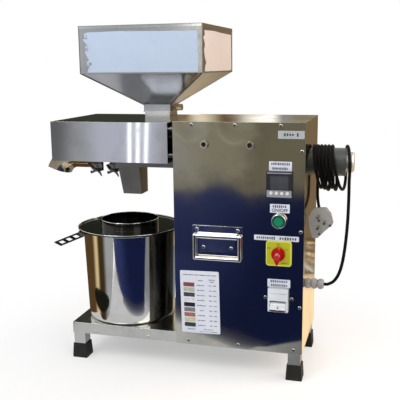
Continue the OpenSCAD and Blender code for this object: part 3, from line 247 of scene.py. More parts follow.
floor_material, tree = new_material("pale_floor")
floor_skin = tree.nodes.new("ShaderNodeBsdfPrincipled")
fill(floor_skin, {"Base Color": (0.93, 0.93, 0.93, 1), "Roughness": 0.9, "Specular IOR Level": 0.1})
reach = tree.nodes.new("ShaderNodeVectorMath")
reach.operation = "LENGTH"
tree.links.new(object_place(tree), reach.inputs[0])
shadow_ends = {"From Min": SHADOW_NEAR, "From Max": SHADOW_FAR, "To Min": WHITE_NEAR}
away = ranged(tree, reach.outputs["Value"], shadow_ends, True)
to_camera = tree.nodes.new("ShaderNodeLightPath").outputs["Is Camera Ray"]
fade = tree.nodes.new("ShaderNodeMixShader")
tree.links.new(link_math(tree, "MULTIPLY", to_camera, away), fade.inputs["Fac"])
tree.links.new(floor_skin.outputs[0], fade.inputs[1])
tree.links.new(tree.nodes.new("ShaderNodeEmission").outputs[0], fade.inputs[2])
show(tree, fade)
floor_corners = [(x * FLOOR_HALF, y * FLOOR_HALF, 0) for x, y in ((-1, -1), (1, -1), (1, 1), (-1, 1))]
floor = mesh_object("floor", floor_corners, [(0, 1, 2, 3)])
floor.data.materials.append(floor_material)
print("floor", 2 * FLOOR_HALF, "m")

# %% Maker of the cards
POT_AXIS = (-123, 60, 0)
cards = []


def card(name, corners, paint):
    piece = mesh_object(name, [at(*p) for p in corners], [tuple(range(len(corners)))])
    material, tree = new_material(name)
    light = tree.nodes.new("ShaderNodeEmission")
    light.inputs["Color"].default_value = (*paint, 1)
    show(tree, light)
    piece.data.materials.append(material)
    for ray in ("camera", "diffuse", "shadow", "volume_scatter"):
        setattr(piece, f"visible_{ray}", False)
    cards.append(name)
    return tree, light


def turn_about(tree, parts, centre):
    x = link_math(tree, "SUBTRACT", parts["X"], centre.x)
    y = link_math(tree, "SUBTRACT", centre.y, parts["Y"])
    return link_math(tree, "ARCTAN2", x, y)


def graded(name, corners, axis, low, high, paints, wobble=0.0, size=3.0):
    tree, light = card(name, corners, paints[0][1])
    where = object_place(tree)
    apart = tree.nodes.new("ShaderNodeSeparateXYZ")
    tree.links.new(where, apart.inputs[0])
    noise = tree.nodes.new("ShaderNodeTexNoise")
    noise.inputs["Scale"].default_value = size
    tree.links.new(where, noise.inputs["Vector"])
    along = turn_about(tree, apart.outputs, at(*POT_AXIS)) if axis == "turn" else apart.outputs[axis]
    moved = link_math(tree, "MULTIPLY_ADD", noise.outputs[0], wobble, along)
    span = ranged(tree, moved, {"From Min": low + wobble / 2, "From Max": high + wobble / 2})
    ramp = tree.nodes.new("ShaderNodeValToRGB")
    ramp.color_ramp.interpolation = "EASE"
    while len(ramp.color_ramp.elements) < len(paints):
        ramp.color_ramp.elements.new(0.5)
    for element, (place, paint) in zip(ramp.color_ramp.elements, paints):
        element.position = place
        element.color = (*paint, 1)
    tree.links.new(span, ramp.inputs["Fac"])
    tree.links.new(ramp.outputs["Color"], light.inputs["Color"])


def flat(points, z):
    return [(x, y, z) for x, y in points]


DUSK, NAVY, INK = (0.075, 0.08, 0.16), (0.03, 0.042, 0.14), (0.008, 0.013, 0.055)
PITCH_BLACK, SOOT, MOSS = (0.012, 0.011, 0.007), (0.055, 0.035, 0.015), (0.043, 0.045, 0.033)
STONE, IRON = (0.15, 0.15, 0.15), (0.25, 0.26, 0.27)
GREY, SLATE, LILAC = (0.64, 0.65, 0.66), (0.40, 0.41, 0.42), (0.57, 0.58, 0.66)
SAND, KHAKI, OLIVE = (0.37, 0.365, 0.34), (0.31, 0.29, 0.22), (0.20, 0.18, 0.13)
BROWN, WOOD, TAN, STRAW = (0.10, 0.055, 0.022), (0.20, 0.14, 0.08), (0.58, 0.46, 0.30), (0.60, 0.58, 0.44)
GOLD, CREAM = (0.78, 0.60, 0.32), (0.86, 0.77, 0.58)
AMBER, GLOW, TUBE_WHITE = (1.19, 0.88, 0.53), (1.5, 1.48, 1.4), (2, 2, 2.05)
print("axis of the pot", [round(v, 3) for v in at(*POT_AXIS)])

# %% Cards on the floor
# The height that flat() gets, in millimetres, only keeps the cards from lying in one plane.
edge_points = [(-620, -1150), (-445, -805), (-270, -480), (-75, -280), (60, -175), (140, -140), (235, -200),
               (575, -370), (1700, -805), (2000, -920)]
mat_edge = [(p.x, p.y) for p in through([Vector((x, y, 0)) for x, y in edge_points], 4)]
far_corners = [(-1220, -2560), (-445, -805), (1700, -805), (1700, -2600)]
graded("far_mat", flat(far_corners, 3), "X", -0.55, 0.1, [(0, NAVY), (1, INK)])
graded("navy_mat", flat(mat_edge, 3), "X", -0.45, 0.45, [(0, DUSK), (0.22, NAVY), (0.57, INK), (1, INK)])
grey_corners = [(-330, 60), (-330, -700), (1700, -1000), (1700, -20), (-330, -20)]
graded("grey_mat", flat(grey_corners, 2), "X", -0.3, 0.25, [(0.6, GREY), (1, IRON)], 0.06, 8.0)
left_corners = [(-330, 60), (-300, -150), (-425, -755), (-1220, -2560), (-3400, -2560), (-3400, 2400),
                (-420, 2400), (-420, 900)]
graded("left_mat", flat(left_corners, 2.5), "turn", math.radians(-140), math.radians(-25),
       [(0.46, BROWN), (0.585, GOLD), (0.67, SOOT), (0.76, SOOT), (0.87, SLATE), (1, SLATE)])
SPOT_X, SPOT_Y, SPOT_LONG, SPOT_SHORT = -455, -98, 170, 72
SPOT_COS, SPOT_SIN = math.cos(math.radians(-50)), math.sin(math.radians(-50))
spot = [(SPOT_LONG * math.cos(a), SPOT_SHORT * math.sin(a)) for a in (math.pi * i / 12 for i in range(24))]
spot = [(SPOT_X + u * SPOT_COS - v * SPOT_SIN, SPOT_Y + u * SPOT_SIN + v * SPOT_COS) for u, v in spot]
card("dark_mat", flat(spot, 4), PITCH_BLACK)
gold_corners = [(262, 30), (3200, 30), (3200, 2600), (262, 2600)]
graded("gold_floor", flat(gold_corners, 4), "Y", 0.0, 1.6,
       [(0.25, AMBER), (0.42, TAN), (0.6, WOOD)], 0.4, 6.0)
card("tan_floor", flat([(-420, 900), (262, 900), (262, 2600), (-420, 2600)], 4), TAN)
khaki_corners = [(-760, -1965), (-590, -1965), (-500, -1900), (-490, -2160), (-365, -2075), (-240, -1920),
                 (-190, -1990), (200, -2040), (200, -2300), (-760, -2300)]
graded("khaki_mat", flat(khaki_corners, 3.4), "X", -0.6, 0.0, [(0.05, KHAKI), (0.4, OLIVE)], 0.08)
card("shade_mat", flat([(-420, 60), (262, 60), (262, 900), (-420, 900)], 1.5), IRON)
print("large floor cards", len(cards))

# %% Soft edge of the mat
ACROSS_X, ACROSS_Y = -0.585, 0.81
near_edge = [(x, y) for x, y in mat_edge if -170 < x < 150]
for low, high, grey in ((14, 28, 0.28), (0, 14, 0.15), (-18, 0, 0.075), (-40, -18, 0.04)):
    strip = [(x + ACROSS_X * high, y + ACROSS_Y * high) for x, y in near_edge]
    strip += [(x + ACROSS_X * low, y + ACROSS_Y * low) for x, y in near_edge[::-1]]
    card(f"soft_edge_{high}", flat(strip, 3.5), (grey, grey * 1.05, grey + 0.035))
print("floor cards", len(cards))


# %% Cards that stand
def upright(y, left, right, low, high, lean=0):
    return [(left - lean, y, low), (right - lean, y, low), (right + lean, y, high), (left + lean, y, high)]


graded("khaki_wall", upright(-2300, -763, 1900, 0, 540), "X", -0.75, 0.0,
       [(0, SAND), (0.25, KHAKI), (0.48, KHAKI), (0.62, OLIVE)], 0.12)
card("straw_line", upright(-2296, -763, -200, 257, 269), STRAW)
graded("slate_wall", upright(-2602, -3400, -862, 0, 2600), "X", -1.62, -0.86,
       [(0.04, STONE), (0.24, SLATE), (0.46, LILAC), (0.85, LILAC), (1, SLATE)], 0.08)
graded("sky_wall", upright(-2590, -3400, 1900, 480, 2600), "X", -1.5, -0.5,
       [(0, GREY), (0.3, SLATE), (0.7, SLATE), (0.80, GLOW), (0.86, GLOW), (0.94, KHAKI)], 0.06)
graded("gold_wall", upright(2600, -800, 2600, 0, 1700), "Z", 0.0, 1.0,
       [(0.35, WOOD), (0.75, TAN), (1, CREAM)], 0.3, 2.5)
graded("patchy_wall", upright(2588, -960, 40, 630, 770), "X", -0.80, -0.05,
       [(0.03, WOOD), (0.15, CREAM), (0.36, BROWN), (0.68, GLOW), (0.8, IRON), (0.91, OLIVE)], 0.05, 12.0)
card("brown_wall", upright(2590, 420, 1400, 470, 1600), WOOD)
card("moss_wall", upright(2598, -3400, -800, 0, 2600), MOSS)
for x in (-318, -293, -268):
    card(f"tube_{-x}", upright(-611, x - 5, x + 5, 280, 480, 5), TUBE_WHITE)
print("cards", len(cards))

# %% Streaks beside the right panel
# Each streak has a paint, the two ends of its near side and its depth.
streaks = [(SOOT, (345, 1037), (378, 1097), 33), (SOOT, (340, 985), (353, 996), 22),
           (TAN, (338, 943), (366, 1005), 36), (SOOT, (328, 905), (341, 922), 30),
           (AMBER, (325, 859), (348, 903), 28), (AMBER, (344, 1020), (359, 1029), 29),
           (GOLD, (316, 785), (335, 835), 27), (GLOW, (309, 697), (345, 788), 17)]
card("streak_ground", flat([(395, 1190), (355, 1195), (300, 690), (330, 685)], 4.2), WOOD)
card("streak_shade", flat([(345, 785), (322, 740), (310, 700), (328, 655)], 5), BROWN)
for number, (paint, start, end, deep) in enumerate(streaks):
    far_side = [(end[0] + 3, end[1] + deep), (start[0], start[1] + deep)]
    card(f"streak_{number}", flat([start, end] + far_side, 5.2), paint)
print("streaks", len(streaks))


# %% Lamps
def area_lamp(name, place, target, size, power, colour):
    data = bpy.data.lights.new(name, "AREA")
    data.shape = "RECTANGLE"
    data.size, data.size_y = size
    data.energy = power
    data.color = colour
    lamp = new_object(name, data)
    lamp.location = at(*place)
    lamp.rotation_euler = (at(*target) - lamp.location).to_track_quat("-Z", "Y").to_euler()


area_lamp("key", (-900, -1500, 1900), (0, 100, 350), (1.4, 1.4), 26, (1, 1, 1))
area_lamp("fill", (1300, -900, 1500), (60, 100, 300), (1.2, 1.2), 9, (1, 0.95, 0.88))
area_lamp("warm_side", (1500, 400, 900), (100, 100, 550), (0.9, 0.9), 17, (1, 0.74, 0.57))

# %% [markdown]
# ## Shared effects
# Rolled sheet is never quite flat, its brushing runs one way, and hands leave dull smears on it. Moulded
# plastic has a fine grain and uneven shade. Each effect could be copied into every finish, but as a node
# group with named sockets it is built once and each finish sets its own values.

# %% Node groups
def new_group(name, inputs, outputs):
    group = bpy.data.node_groups.new(name, "ShaderNodeTree")
    for label, kind, value in inputs:
        socket = group.interface.new_socket(label, in_out="INPUT", socket_type=kind)
        socket.default_value = value
    for label in outputs:
        group.interface.new_socket(label, in_out="OUTPUT", socket_type="NodeSocketFloat")
    return group, group.nodes.new("NodeGroupInput").outputs, group.nodes.new("NodeGroupOutput").inputs


def noise_of(group, scale, vector, detail=2.0, rough=0.5):
    noise = group.nodes.new("ShaderNodeTexNoise")
    fill(noise, {"Detail": detail, "Roughness": rough})
    group.links.new(vector, noise.inputs["Vector"])
    if isinstance(scale, bpy.types.NodeSocket):
        group.links.new(scale, noise.inputs["Scale"])
    else:
        noise.inputs["Scale"].default_value = scale
    return noise.outputs[0]


sheet, sheet_in, sheet_out = new_group("sheet_finish", [
    ("Brushing", "NodeSocketVector", (4.0, 400.0, 400.0)), ("Dent Size", "NodeSocketFloat", 9.0),
    ("Smear Size", "NodeSocketFloat", 14.0)], ["Grain", "Dents", "Smears"])
coords = object_place(sheet)
stretch = sheet.nodes.new("ShaderNodeVectorMath")
stretch.operation = "MULTIPLY"
sheet.links.new(coords, stretch.inputs[0])
sheet.links.new(sheet_in["Brushing"], stretch.inputs[1])
smears = noise_of(sheet, sheet_in["Smear Size"], coords, 5.0, 0.62)
sheet.links.new(noise_of(sheet, 1.0, stretch.outputs[0], 3.0), sheet_out["Grain"])
sheet.links.new(noise_of(sheet, sheet_in["Dent Size"], coords, 1.0), sheet_out["Dents"])
sheet.links.new(ranged(sheet, smears, {"From Min": 0.42, "From Max": 0.72}, True), sheet_out["Smears"])

moulding, moulding_in, moulding_out = new_group("moulded_grain", [
    ("Grain Size", "NodeSocketFloat", 900.0), ("Shade Size", "NodeSocketFloat", 25.0)], ["Grain", "Shade"])
coords = object_place(moulding)
shades = noise_of(moulding, moulding_in["Shade Size"], coords, 4.0)
moulding.links.new(noise_of(moulding, moulding_in["Grain Size"], coords, 2.0), moulding_out["Grain"])
moulding.links.new(ranged(moulding, shades, {"From Min": 0.3, "From Max": 0.75}, True), moulding_out["Shade"])
print("groups", [g.name for g in bpy.data.node_groups])

# %% [markdown]
# ## Finishes
# Two makers cover most of the press. `steel()` is a metal with dents, brushing and smears, and a narrow
# rounding of its edges, as a folded sheet has. `plastic()` is a moulded or painted skin. A constant goes
# straight into the shader's own socket, and only what changes over the surface is linked.

# %% Steps that finishes share
finishes = {}


def start_finish(name, group, settings):
    material, tree = new_material(name)
    shader = tree.nodes.new("ShaderNodeBsdfPrincipled")
    show(tree, shader)
    effect = tree.nodes.new("ShaderNodeGroup")
    effect.node_tree = group
    fill(effect, settings)
    finishes[name] = material
    return tree, shader.inputs, effect.outputs


def mixed(tree, factor, a, b):
    node = tree.nodes.new("ShaderNodeMix")
    node.data_type = "RGBA"
    tree.links.new(factor, node.inputs["Factor"])
    for index, value in ((6, a), (7, b)):
        if isinstance(value, bpy.types.NodeSocket):
            tree.links.new(value, node.inputs[index])
        else:
            node.inputs[index].default_value = (*value, 1)
    return node.outputs[2]


def raised(tree, height, distance, under=None):
    node = tree.nodes.new("ShaderNodeBump")
    fill(node, {"Strength": 1.0, "Distance": distance})
    tree.links.new(height, node.inputs["Height"])
    if under:
        tree.links.new(under, node.inputs["Normal"])
    return node.outputs[0]


def rounded(tree, radius):
    node = tree.nodes.new("ShaderNodeBevel")
    node.samples = 4
    node.inputs["Radius"].default_value = radius
    return node.outputs[0]


def spread(tree, mask, low, high):
    return ranged(tree, mask, {"To Min": low, "To Max": high})


# %% Maker of metals
# Grain and dents are in micrometres, the rounding of an edge is in millimetres.
MICRON = 1e-6
SMEAR_SHADE, CONE_SHADE = 0.85, 0.75
PULL_REACH, PULL_DEPTH = 0.045, 0.0007


def pulled(tree, points, reach):
    place, total = object_place(tree), 0.0
    for point in points:
        away = tree.nodes.new("ShaderNodeVectorMath")
        away.operation = "DISTANCE"
        tree.links.new(place, away.inputs[0])
        away.inputs[1].default_value = point
        near = ranged(tree, away.outputs["Value"], {"From Max": reach, "To Min": -1.0, "To Max": 0.0}, True)
        total = link_math(tree, "ADD", near, total)
    return total


def steel(name, colour, rough, dull, brushing, grain, dent, dent_size=9.0, smear_size=14.0, edge=0.5,
          pulls=(), shade_below=None):
    tree, shader, effect = start_finish(
        name, sheet, {"Brushing": brushing, "Dent Size": dent_size, "Smear Size": smear_size})
    shader["Metallic"].default_value = 1.0
    skin = mixed(tree, effect["Smears"], colour, [c * SMEAR_SHADE for c in colour])
    # Below the given height the colour is darkened: painted shade on the funnel, whose faces slope downwards.
    if shade_below:
        height = tree.nodes.new("ShaderNodeSeparateXYZ")
        tree.links.new(object_place(tree), height.inputs[0])
        limits = {"From Min": shade_below - 0.001, "From Max": shade_below + 0.001}
        upper = ranged(tree, height.outputs["Z"], limits, True)
        skin = mixed(tree, upper, [c * CONE_SHADE for c in colour], skin)
    tree.links.new(skin, shader["Base Color"])
    tree.links.new(spread(tree, effect["Smears"], rough, dull), shader["Roughness"])
    normal = rounded(tree, edge / 1000)
    if dent:
        normal = raised(tree, effect["Dents"], dent * MICRON, normal)
    if pulls:
        normal = raised(tree, pulled(tree, pulls, PULL_REACH), PULL_DEPTH, normal)
    tree.links.new(raised(tree, effect["Grain"], grain * MICRON, normal), shader["Normal"])


# %% Screw heads
def islands(node):
    mesh = bmesh.new()
    mesh.from_mesh(nodes[node].data)
    bmesh.ops.remove_doubles(mesh, verts=mesh.verts, dist=1e-5)
    left, found = set(mesh.verts), []
    while left:
        queue = [left.pop()]
        reached = list(queue)
        while queue:
            for edge in queue.pop().link_edges:
                for vert in edge.verts:
                    if vert in left:
                        left.remove(vert)
                        queue.append(vert)
                        reached.append(vert)
        found.append([[f(v.co[k] for v in reached) for k in range(3)] for f in (min, max)])
    return sorted(found)


HEAD_OUT, TOP_ROW = 0.0005, 0.48
screw_heads = [box for name in ("panel_screws", "handle_screws", "breaker_screws") for box in islands(name)]
front_heads = [box for box in screw_heads if box[0][1] < corner[1] - HEAD_OUT]
top_heads = [[(a + b) / 2 for a, b in zip(*box)] for box in front_heads if box[1][2] > TOP_ROW]
print("screw heads", len(screw_heads), "on the front", len(front_heads), "along the top", len(top_heads))

# %% Metals
FUNNEL_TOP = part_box("hopper")[0][2] + 0.076
UPRIGHT, EVEN = (500, 500, 5), (300, 300, 300)
steel("panel_steel", (0.60, 0.585, 0.53), 0.07, 0.12, UPRIGHT, 4, 1400, 7.0, pulls=top_heads)
# The side and rear steels are tinted warm: painted warm reflection from the right.
steel("side_steel_warm_lit", (0.72, 0.66, 0.56), 0.16, 0.26, UPRIGHT, 5, 1200, 8.0)
steel("side_mirror_warm_lit", (0.72, 0.66, 0.56), 0.07, 0.13, UPRIGHT, 4, 400, 8.0)
# The left side panel's steel is painted near black: painted shade in the gap beside the pot.
steel("left_side_shaded", (0.10, 0.099, 0.094), 0.2, 0.34, UPRIGHT, 5, 800, 8.0)
steel("knob_brass", (0.42, 0.33, 0.20), 0.2, 0.34, EVEN, 10, 0)
steel("cover_steel", (0.70, 0.71, 0.73), 0.05, 0.09, (5, 600, 600), 3, 250, 6.0)
steel("tray_steel", (0.66, 0.66, 0.63), 0.16, 0.26, (6, 500, 500), 6, 400)
steel("pot_steel", (0.79, 0.78, 0.76), 0.06, 0.11, (400, 400, 8), 3, 160, 12.0)
# The sieve's steel is painted near black: painted dark reflection of the shaded cover above it.
steel("sieve_steel_shaded", (0.11, 0.108, 0.10), 0.09, 0.2, EVEN, 4, 200, 14.0)
# The hopper's funnel, below FUNNEL_TOP, is painted darker: painted shade.
steel("hopper_steel", (0.62, 0.625, 0.64), 0.16, 0.24, (300, 300, 30), 2, 500, 7.0, shade_below=FUNNEL_TOP)
steel("seam_steel", (0.20, 0.19, 0.18), 0.3, 0.45, EVEN, 10, 0, edge=0.3)
# The top steel is tinted gold: painted warm reflection.
steel("top_steel_warm_lit", (0.66, 0.59, 0.46), 0.08, 0.15, (5, 500, 500), 4, 600, 8.0)
# The spout's steel is painted dark: painted shade.
steel("spout_steel_shaded", (0.32, 0.32, 0.30), 0.45, 0.58, (300, 300, 30), 10, 400, 16.0)
# The chute's gold tint is painted warm reflection.
steel("chute_steel_warm_lit", (0.72, 0.58, 0.40), 0.13, 0.24, (300, 40, 300), 8, 600, 18.0)
steel("bright_wire", (0.80, 0.80, 0.79), 0.10, 0.2, EVEN, 4, 0, edge=0.3)
steel("zinc", (0.66, 0.65, 0.62), 0.22, 0.36, EVEN, 10, 0, edge=0.3)
steel("barrel_steel", (0.30, 0.29, 0.28), 0.3, 0.5, (60, 600, 600), 20, 0)
steel("band_steel", (0.22, 0.20, 0.18), 0.3, 0.55, (600, 60, 60), 20, 200, 30.0, 40.0)
steel("gear_steel", (0.40, 0.40, 0.40), 0.3, 0.45, EVEN, 10, 0)
steel("cast_alloy", (0.55, 0.55, 0.53), 0.4, 0.55, (900, 900, 900), 80, 0, edge=1.0)
# The pins' metal is darkened: painted dark reflection.
steel("pin_metal_dark_reflection", (0.34, 0.31, 0.24), 0.25, 0.4, EVEN, 10, 0)
print("metals", len(finishes))


# %% Plastics, paint and rubber
def plastic(name, colour, rough, second, grain=30, size=900.0, shade_size=25.0, coat=0.0, edge=0.4,
            shine=0.5):
    tree, shader, effect = start_finish(name, moulding, {"Grain Size": size, "Shade Size": shade_size})
    for label, value in (("Coat Weight", coat), ("Specular IOR Level", shine), ("Coat Roughness", 0.12)):
        shader[label].default_value = value
    tree.links.new(mixed(tree, effect["Shade"], colour, second), shader["Base Color"])
    tree.links.new(spread(tree, effect["Shade"], rough, min(1.0, rough + 0.12)), shader["Roughness"])
    normal = raised(tree, effect["Grain"], grain * MICRON, rounded(tree, edge / 1000))
    tree.links.new(normal, shader["Normal"])


plastic("motor_paint", (0.035, 0.048, 0.044), 0.32, (0.06, 0.072, 0.066), 80, 500.0, coat=0.3, edge=1.0)
# Black rubber for the feet; the same finish is painted shade in the bolts' sockets and the screws' cross
# recesses.
plastic("rubber", (0.011, 0.011, 0.011), 0.62, (0.017, 0.017, 0.016), 120, 700.0, 60.0, edge=1.2, shine=0.25)
plastic("black_plastic", (0.014, 0.015, 0.019), 0.36, (0.022, 0.023, 0.028), 30, 1400.0, edge=0.6)
plastic("display", (0.040, 0.045, 0.055), 0.14, (0.055, 0.06, 0.07), 4, 500.0, coat=0.6)
plastic("white_key", (0.66, 0.67, 0.68), 0.4, (0.56, 0.57, 0.58), edge=0.6)
plastic("green_button", (0.002, 0.225, 0.11), 0.28, (0.002, 0.18, 0.09), coat=0.1, edge=0.8, shine=0.25)
plastic("yellow_plate", (0.47, 0.49, 0.012), 0.35, (0.42, 0.43, 0.01), edge=0.5, shine=0.25)
plastic("red_knob", (0.42, 0.004, 0.002), 0.14, (0.34, 0.004, 0.002), coat=0.8, edge=1.0)
plastic("white_plastic", (0.65, 0.70, 0.76), 0.3, (0.58, 0.63, 0.69), coat=0.2, edge=0.6)
# The lever is the breaker's white plastic made lighter: painted light on the tops of the toggles.
plastic("toggle_plastic_lit", (0.72, 0.75, 0.78), 0.3, (0.65, 0.68, 0.71), coat=0.2, edge=0.6)
plastic("gland_plastic", (0.29, 0.29, 0.285), 0.42, (0.21, 0.21, 0.205), 40, 700.0, 60.0, edge=0.8)
plastic("cord_sheath", (0.004,) * 3, 0.3, (0.007,) * 3, 40, 900.0, 60.0, edge=0.3, shine=0.04)
plastic("plug_grey", (0.30, 0.305, 0.30), 0.42, (0.24, 0.245, 0.24), 50, 900.0, 45.0, edge=1.5)
plastic("plug_dark", (0.02, 0.02, 0.022), 0.4, (0.035, 0.035, 0.036), 50, 900.0, edge=1.5)
print("finishes", len(finishes))

# %% Finish of each solid
wears = {
    "panel_steel": ["front_panel"], "side_mirror_warm_lit": ["right_side_panel"], "side_steel_warm_lit": ["rear_panel"],
    "top_steel_warm_lit": ["top_panel"], "left_side_shaded": ["left_side_panel"], "knob_brass": ["hopper_knob"],
    "cover_steel": ["barrel_cover"], "tray_steel": ["base_tray", "feed_neck"], "pot_steel": ["oil_pot"],
    "sieve_steel_shaded": ["sieve"], "hopper_steel": ["hopper"],
    "spout_steel_shaded": ["oil_spout"], "chute_steel_warm_lit": ["cake_chute"],
    "bright_wire": ["handle_bail", "handle_plate", "heater_button_collar", "gearbox_bolts"],
    "zinc": ["panel_screws", "breaker_screws", "handle_screws", "cover_standoffs"],
    "barrel_steel": ["press_barrel", "press_head", "heater_clamps"],
    "band_steel": ["heater_band_near", "heater_band_far"],
    "gear_steel": ["motor_pinion", "idler_gear", "screw_gear", "press_screw"],
    "cast_alloy": ["motor_end_cap", "gearbox_case", "gearbox_cover"], "pin_metal_dark_reflection": ["plug_pins"],
    "motor_paint": ["motor_housing"],
    "rubber": ["foot_front_left", "foot_front_right", "foot_rear_left", "foot_rear_right"],
    "black_plastic": ["controller_case", "heater_button_block", "switch_block"],
    "display": ["controller_window"], "white_key": [f"controller_key_{number}" for number in (1, 2, 3, 4)],
    "green_button": ["heater_button_cap"], "yellow_plate": ["switch_plate"], "red_knob": ["switch_knob"],
    "white_plastic": ["breaker_body"], "toggle_plastic_lit": ["breaker_lever"],
    "plug_grey": ["plug_face"], "plug_dark": ["plug_back"],
}
for finish, names in wears.items():
    for name in names:
        nodes[name].data.materials.clear()
        nodes[name].data.materials.append(finishes[finish])
mains_lead.data.materials.append(finishes["cord_sheath"])
print("nodes dressed", sum(len(names) for names in wears.values()))

# %% [markdown]
# ## Film and labels
# New sheet is sold with a milky film, and the hopper still wears it: cut short of the folded edges, torn
# along one end, with three small curls where it lifts. A bright hem runs round the hopper's top. The labels
# are printed plastic. All could be painted into the finish under them, but each has an edge and a thickness
# of its own, so they are thin sheets cut by an outline, and the curls are strips rolled by a formula.

# %% Places and outlines
def extent(node):
    low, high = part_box(node)
    return [[(v - c) * 1000 for v, c in zip(end, (corner[0], corner[1], 0))] for end in (low, high)]


def plane(origin, u, v):
    origin, u, v = Vector(origin), Vector(u).normalized(), Vector(v).normalized()
    out = u.cross(v)
    return lambda a, b, c: at(*(origin + u * a + v * b + out * c))


def front(y):
    return plane((0, y, 0), (1, 0, 0), (0, 0, 1))


def circle(radius, count):
    turns = [2 * math.pi * i / count for i in range(count + 1)]
    return [(radius * math.cos(turn), radius * math.sin(turn)) for turn in turns]


def disc(x, z, radius, count=24):
    return [(x + a, z + b) for a, b in circle(radius, count)[:-1]]


def rounded_box(x0, x1, z0, z1, r=1.0):
    ends = [(x1 - r, z1 - r, 0), (x0 + r, z1 - r, 90), (x0 + r, z0 + r, 180), (x1 - r, z0 + r, 270)]
    return [(x + r * math.cos(math.radians(a + s)), z + r * math.sin(math.radians(a + s)))
            for x, z, a in ends for s in (0, 30, 60, 90)]


def front_of(node):
    return front(extent(node)[0][1])


def centre(node):
    return [(a + b) / 2 for a, b in zip(*extent(node))]


panel = front(0)
print("panel corner", [round(v, 3) for v in panel(0, 0, 0)])


# %% Maker of flat pieces
def plain_mesh(holder):
    mesh = bpy.data.meshes.new_from_object(holder.evaluated_get(bpy.context.evaluated_depsgraph_get()))
    bpy.data.objects.remove(holder)
    return mesh


def ride(piece, finish, body):
    piece.data.materials.clear()
    piece.data.materials.append(finishes[finish])
    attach(piece, body)
    return piece


def outline_mesh(outlines, thick):
    curve = bpy.data.curves.new("outline", "CURVE")
    curve.dimensions = "2D"
    curve.fill_mode = "BOTH"
    curve.extrude = thick / 2
    for outline in outlines:
        spline = curve.splines.new("POLY")
        spline.points.add(len(outline) - 1)
        spline.use_cyclic_u = True
        for point, (a, b) in zip(spline.points, outline):
            point.co = (a, b, 0, 1)
    return plain_mesh(new_object("outline", curve))


def flat_piece(name, patches, thick, finish, body, lift=0.06):
    whole = bmesh.new()
    for outlines, place in patches:
        part = bmesh.new()
        mesh = outline_mesh(outlines, thick)
        part.from_mesh(mesh)
        bmesh.ops.remove_doubles(part, verts=part.verts, dist=1e-4)
        for vert in part.verts:
            vert.co = place(vert.co.x, vert.co.y, vert.co.z + thick / 2 + lift)
        bmesh.ops.recalc_face_normals(part, faces=part.faces)
        part.to_mesh(mesh)
        whole.from_mesh(mesh)
    mesh = bpy.data.meshes.new(name)
    whole.to_mesh(mesh)
    print("piece", name, len(mesh.polygons), "faces")
    return ride(new_object(name, mesh), finish, body)


# %% Film on the hopper
FILM_THICK, FILM_ROUGH = 0.15, 0.36


def film(name, colour, second):
    tree, shader, effect = start_finish(
        name, sheet, {"Brushing": (30, 30, 400), "Dent Size": 26.0, "Smear Size": 9.0})
    shader["Metallic"].default_value = 0.3
    tree.links.new(mixed(tree, effect["Smears"], colour, second), shader["Base Color"])
    tree.links.new(spread(tree, effect["Smears"], FILM_ROUGH, FILM_ROUGH + 0.12), shader["Roughness"])
    dents = raised(tree, effect["Dents"], 800 * MICRON)
    tree.links.new(raised(tree, effect["Grain"], 20 * MICRON, dents), shader["Normal"])


(hop_x0, hop_y0, hop_z0), (hop_x1, hop_y1, hop_top) = extent("hopper")
hop_x, hop_y, _ = centre("hopper")
half_x, half_y = (hop_x1 - hop_x0) / 2, (hop_y1 - hop_y0) / 2
cone_top = FUNNEL_TOP * 1000
wall_high = hop_top - cone_top
torn = [(15, 1.5), (19, 12), (25, 17), (20, 22), (15, 31), (12, 40), (17, 48), (13, 56), (8, 62), (17, 67),
        (15, 75)]


def box_film(half):
    ends = [Vector((a - half, b, 0)) for a, b in [torn[0]] + torn + [torn[-1]]]
    left = [(p.x, p.y) for p in through(ends, 5)]
    return left + [(-half * 0.3, wall_high - 11), (half * 0.3, wall_high - 12.5), (half - 9, wall_high - 13),
                   (half - 9.5, 46), (half - 8, 22), (half - 9, 1.5)]


def hopper_side(u, out, half, reach):
    return half, plane(Vector((hop_x, hop_y, cone_top)) + Vector(out) * reach, u, (0, 0, 1))


front_side = hopper_side((1, 0, 0), (0, -1, 0), half_x, half_y)
rear_side = hopper_side((-1, 0, 0), (0, 1, 0), half_x, half_y)
left_side = hopper_side((0, -1, 0), (-1, 0, 0), half_y, half_x)
right_side = hopper_side((0, 1, 0), (1, 0, 0), half_y, half_x)
# The film is one pale blue film. The copy on the front, rear and left sides is bluer, partly painted blue
# reflection, and the copy on the right side is tinted warm: painted warm light from the right.
film("film", (0.50, 0.60, 0.755), (0.465, 0.56, 0.71))
film("film_warm_lit", (0.71, 0.665, 0.66), (0.67, 0.62, 0.605))
cool, warm = ([([box_film(half)], face) for half, face in sides]
              for sides in ((front_side, rear_side, left_side), (right_side,)))
flat_piece("hopper_film", cool, FILM_THICK, "film", "hopper")
flat_piece("hopper_film_right", warm, FILM_THICK, "film_warm_lit", "hopper")

# %% Hem and curls
hems = [([rounded_box(0.8 - half, half - 0.8, wall_high - 5.5, wall_high - 0.6, 0.5)], face)
        for half, face in (front_side, rear_side, left_side, right_side)]
flat_piece("hopper_hem", hems, 0.5, "bright_wire", "hopper")
CURL_STEPS, CURL_ROWS, CURL_THICK = 6, 4, 0.0002


def flap(x, z, wide, tall, turn):
    rows = []
    for i in range(CURL_STEPS + 1):
        angle = turn * i / CURL_STEPS
        out, along = (1 - math.cos(angle)) / turn, math.sin(angle) / turn
        heights = [0.5 + (j / CURL_ROWS - 0.5) * (1 - 0.08 * i) for j in range(CURL_ROWS + 1)]
        left, lift = x - half_x - wide * along, 0.4 + wide * out
        rows.append([front_side[1](left, z + tall * h, lift) for h in heights])
    return rows


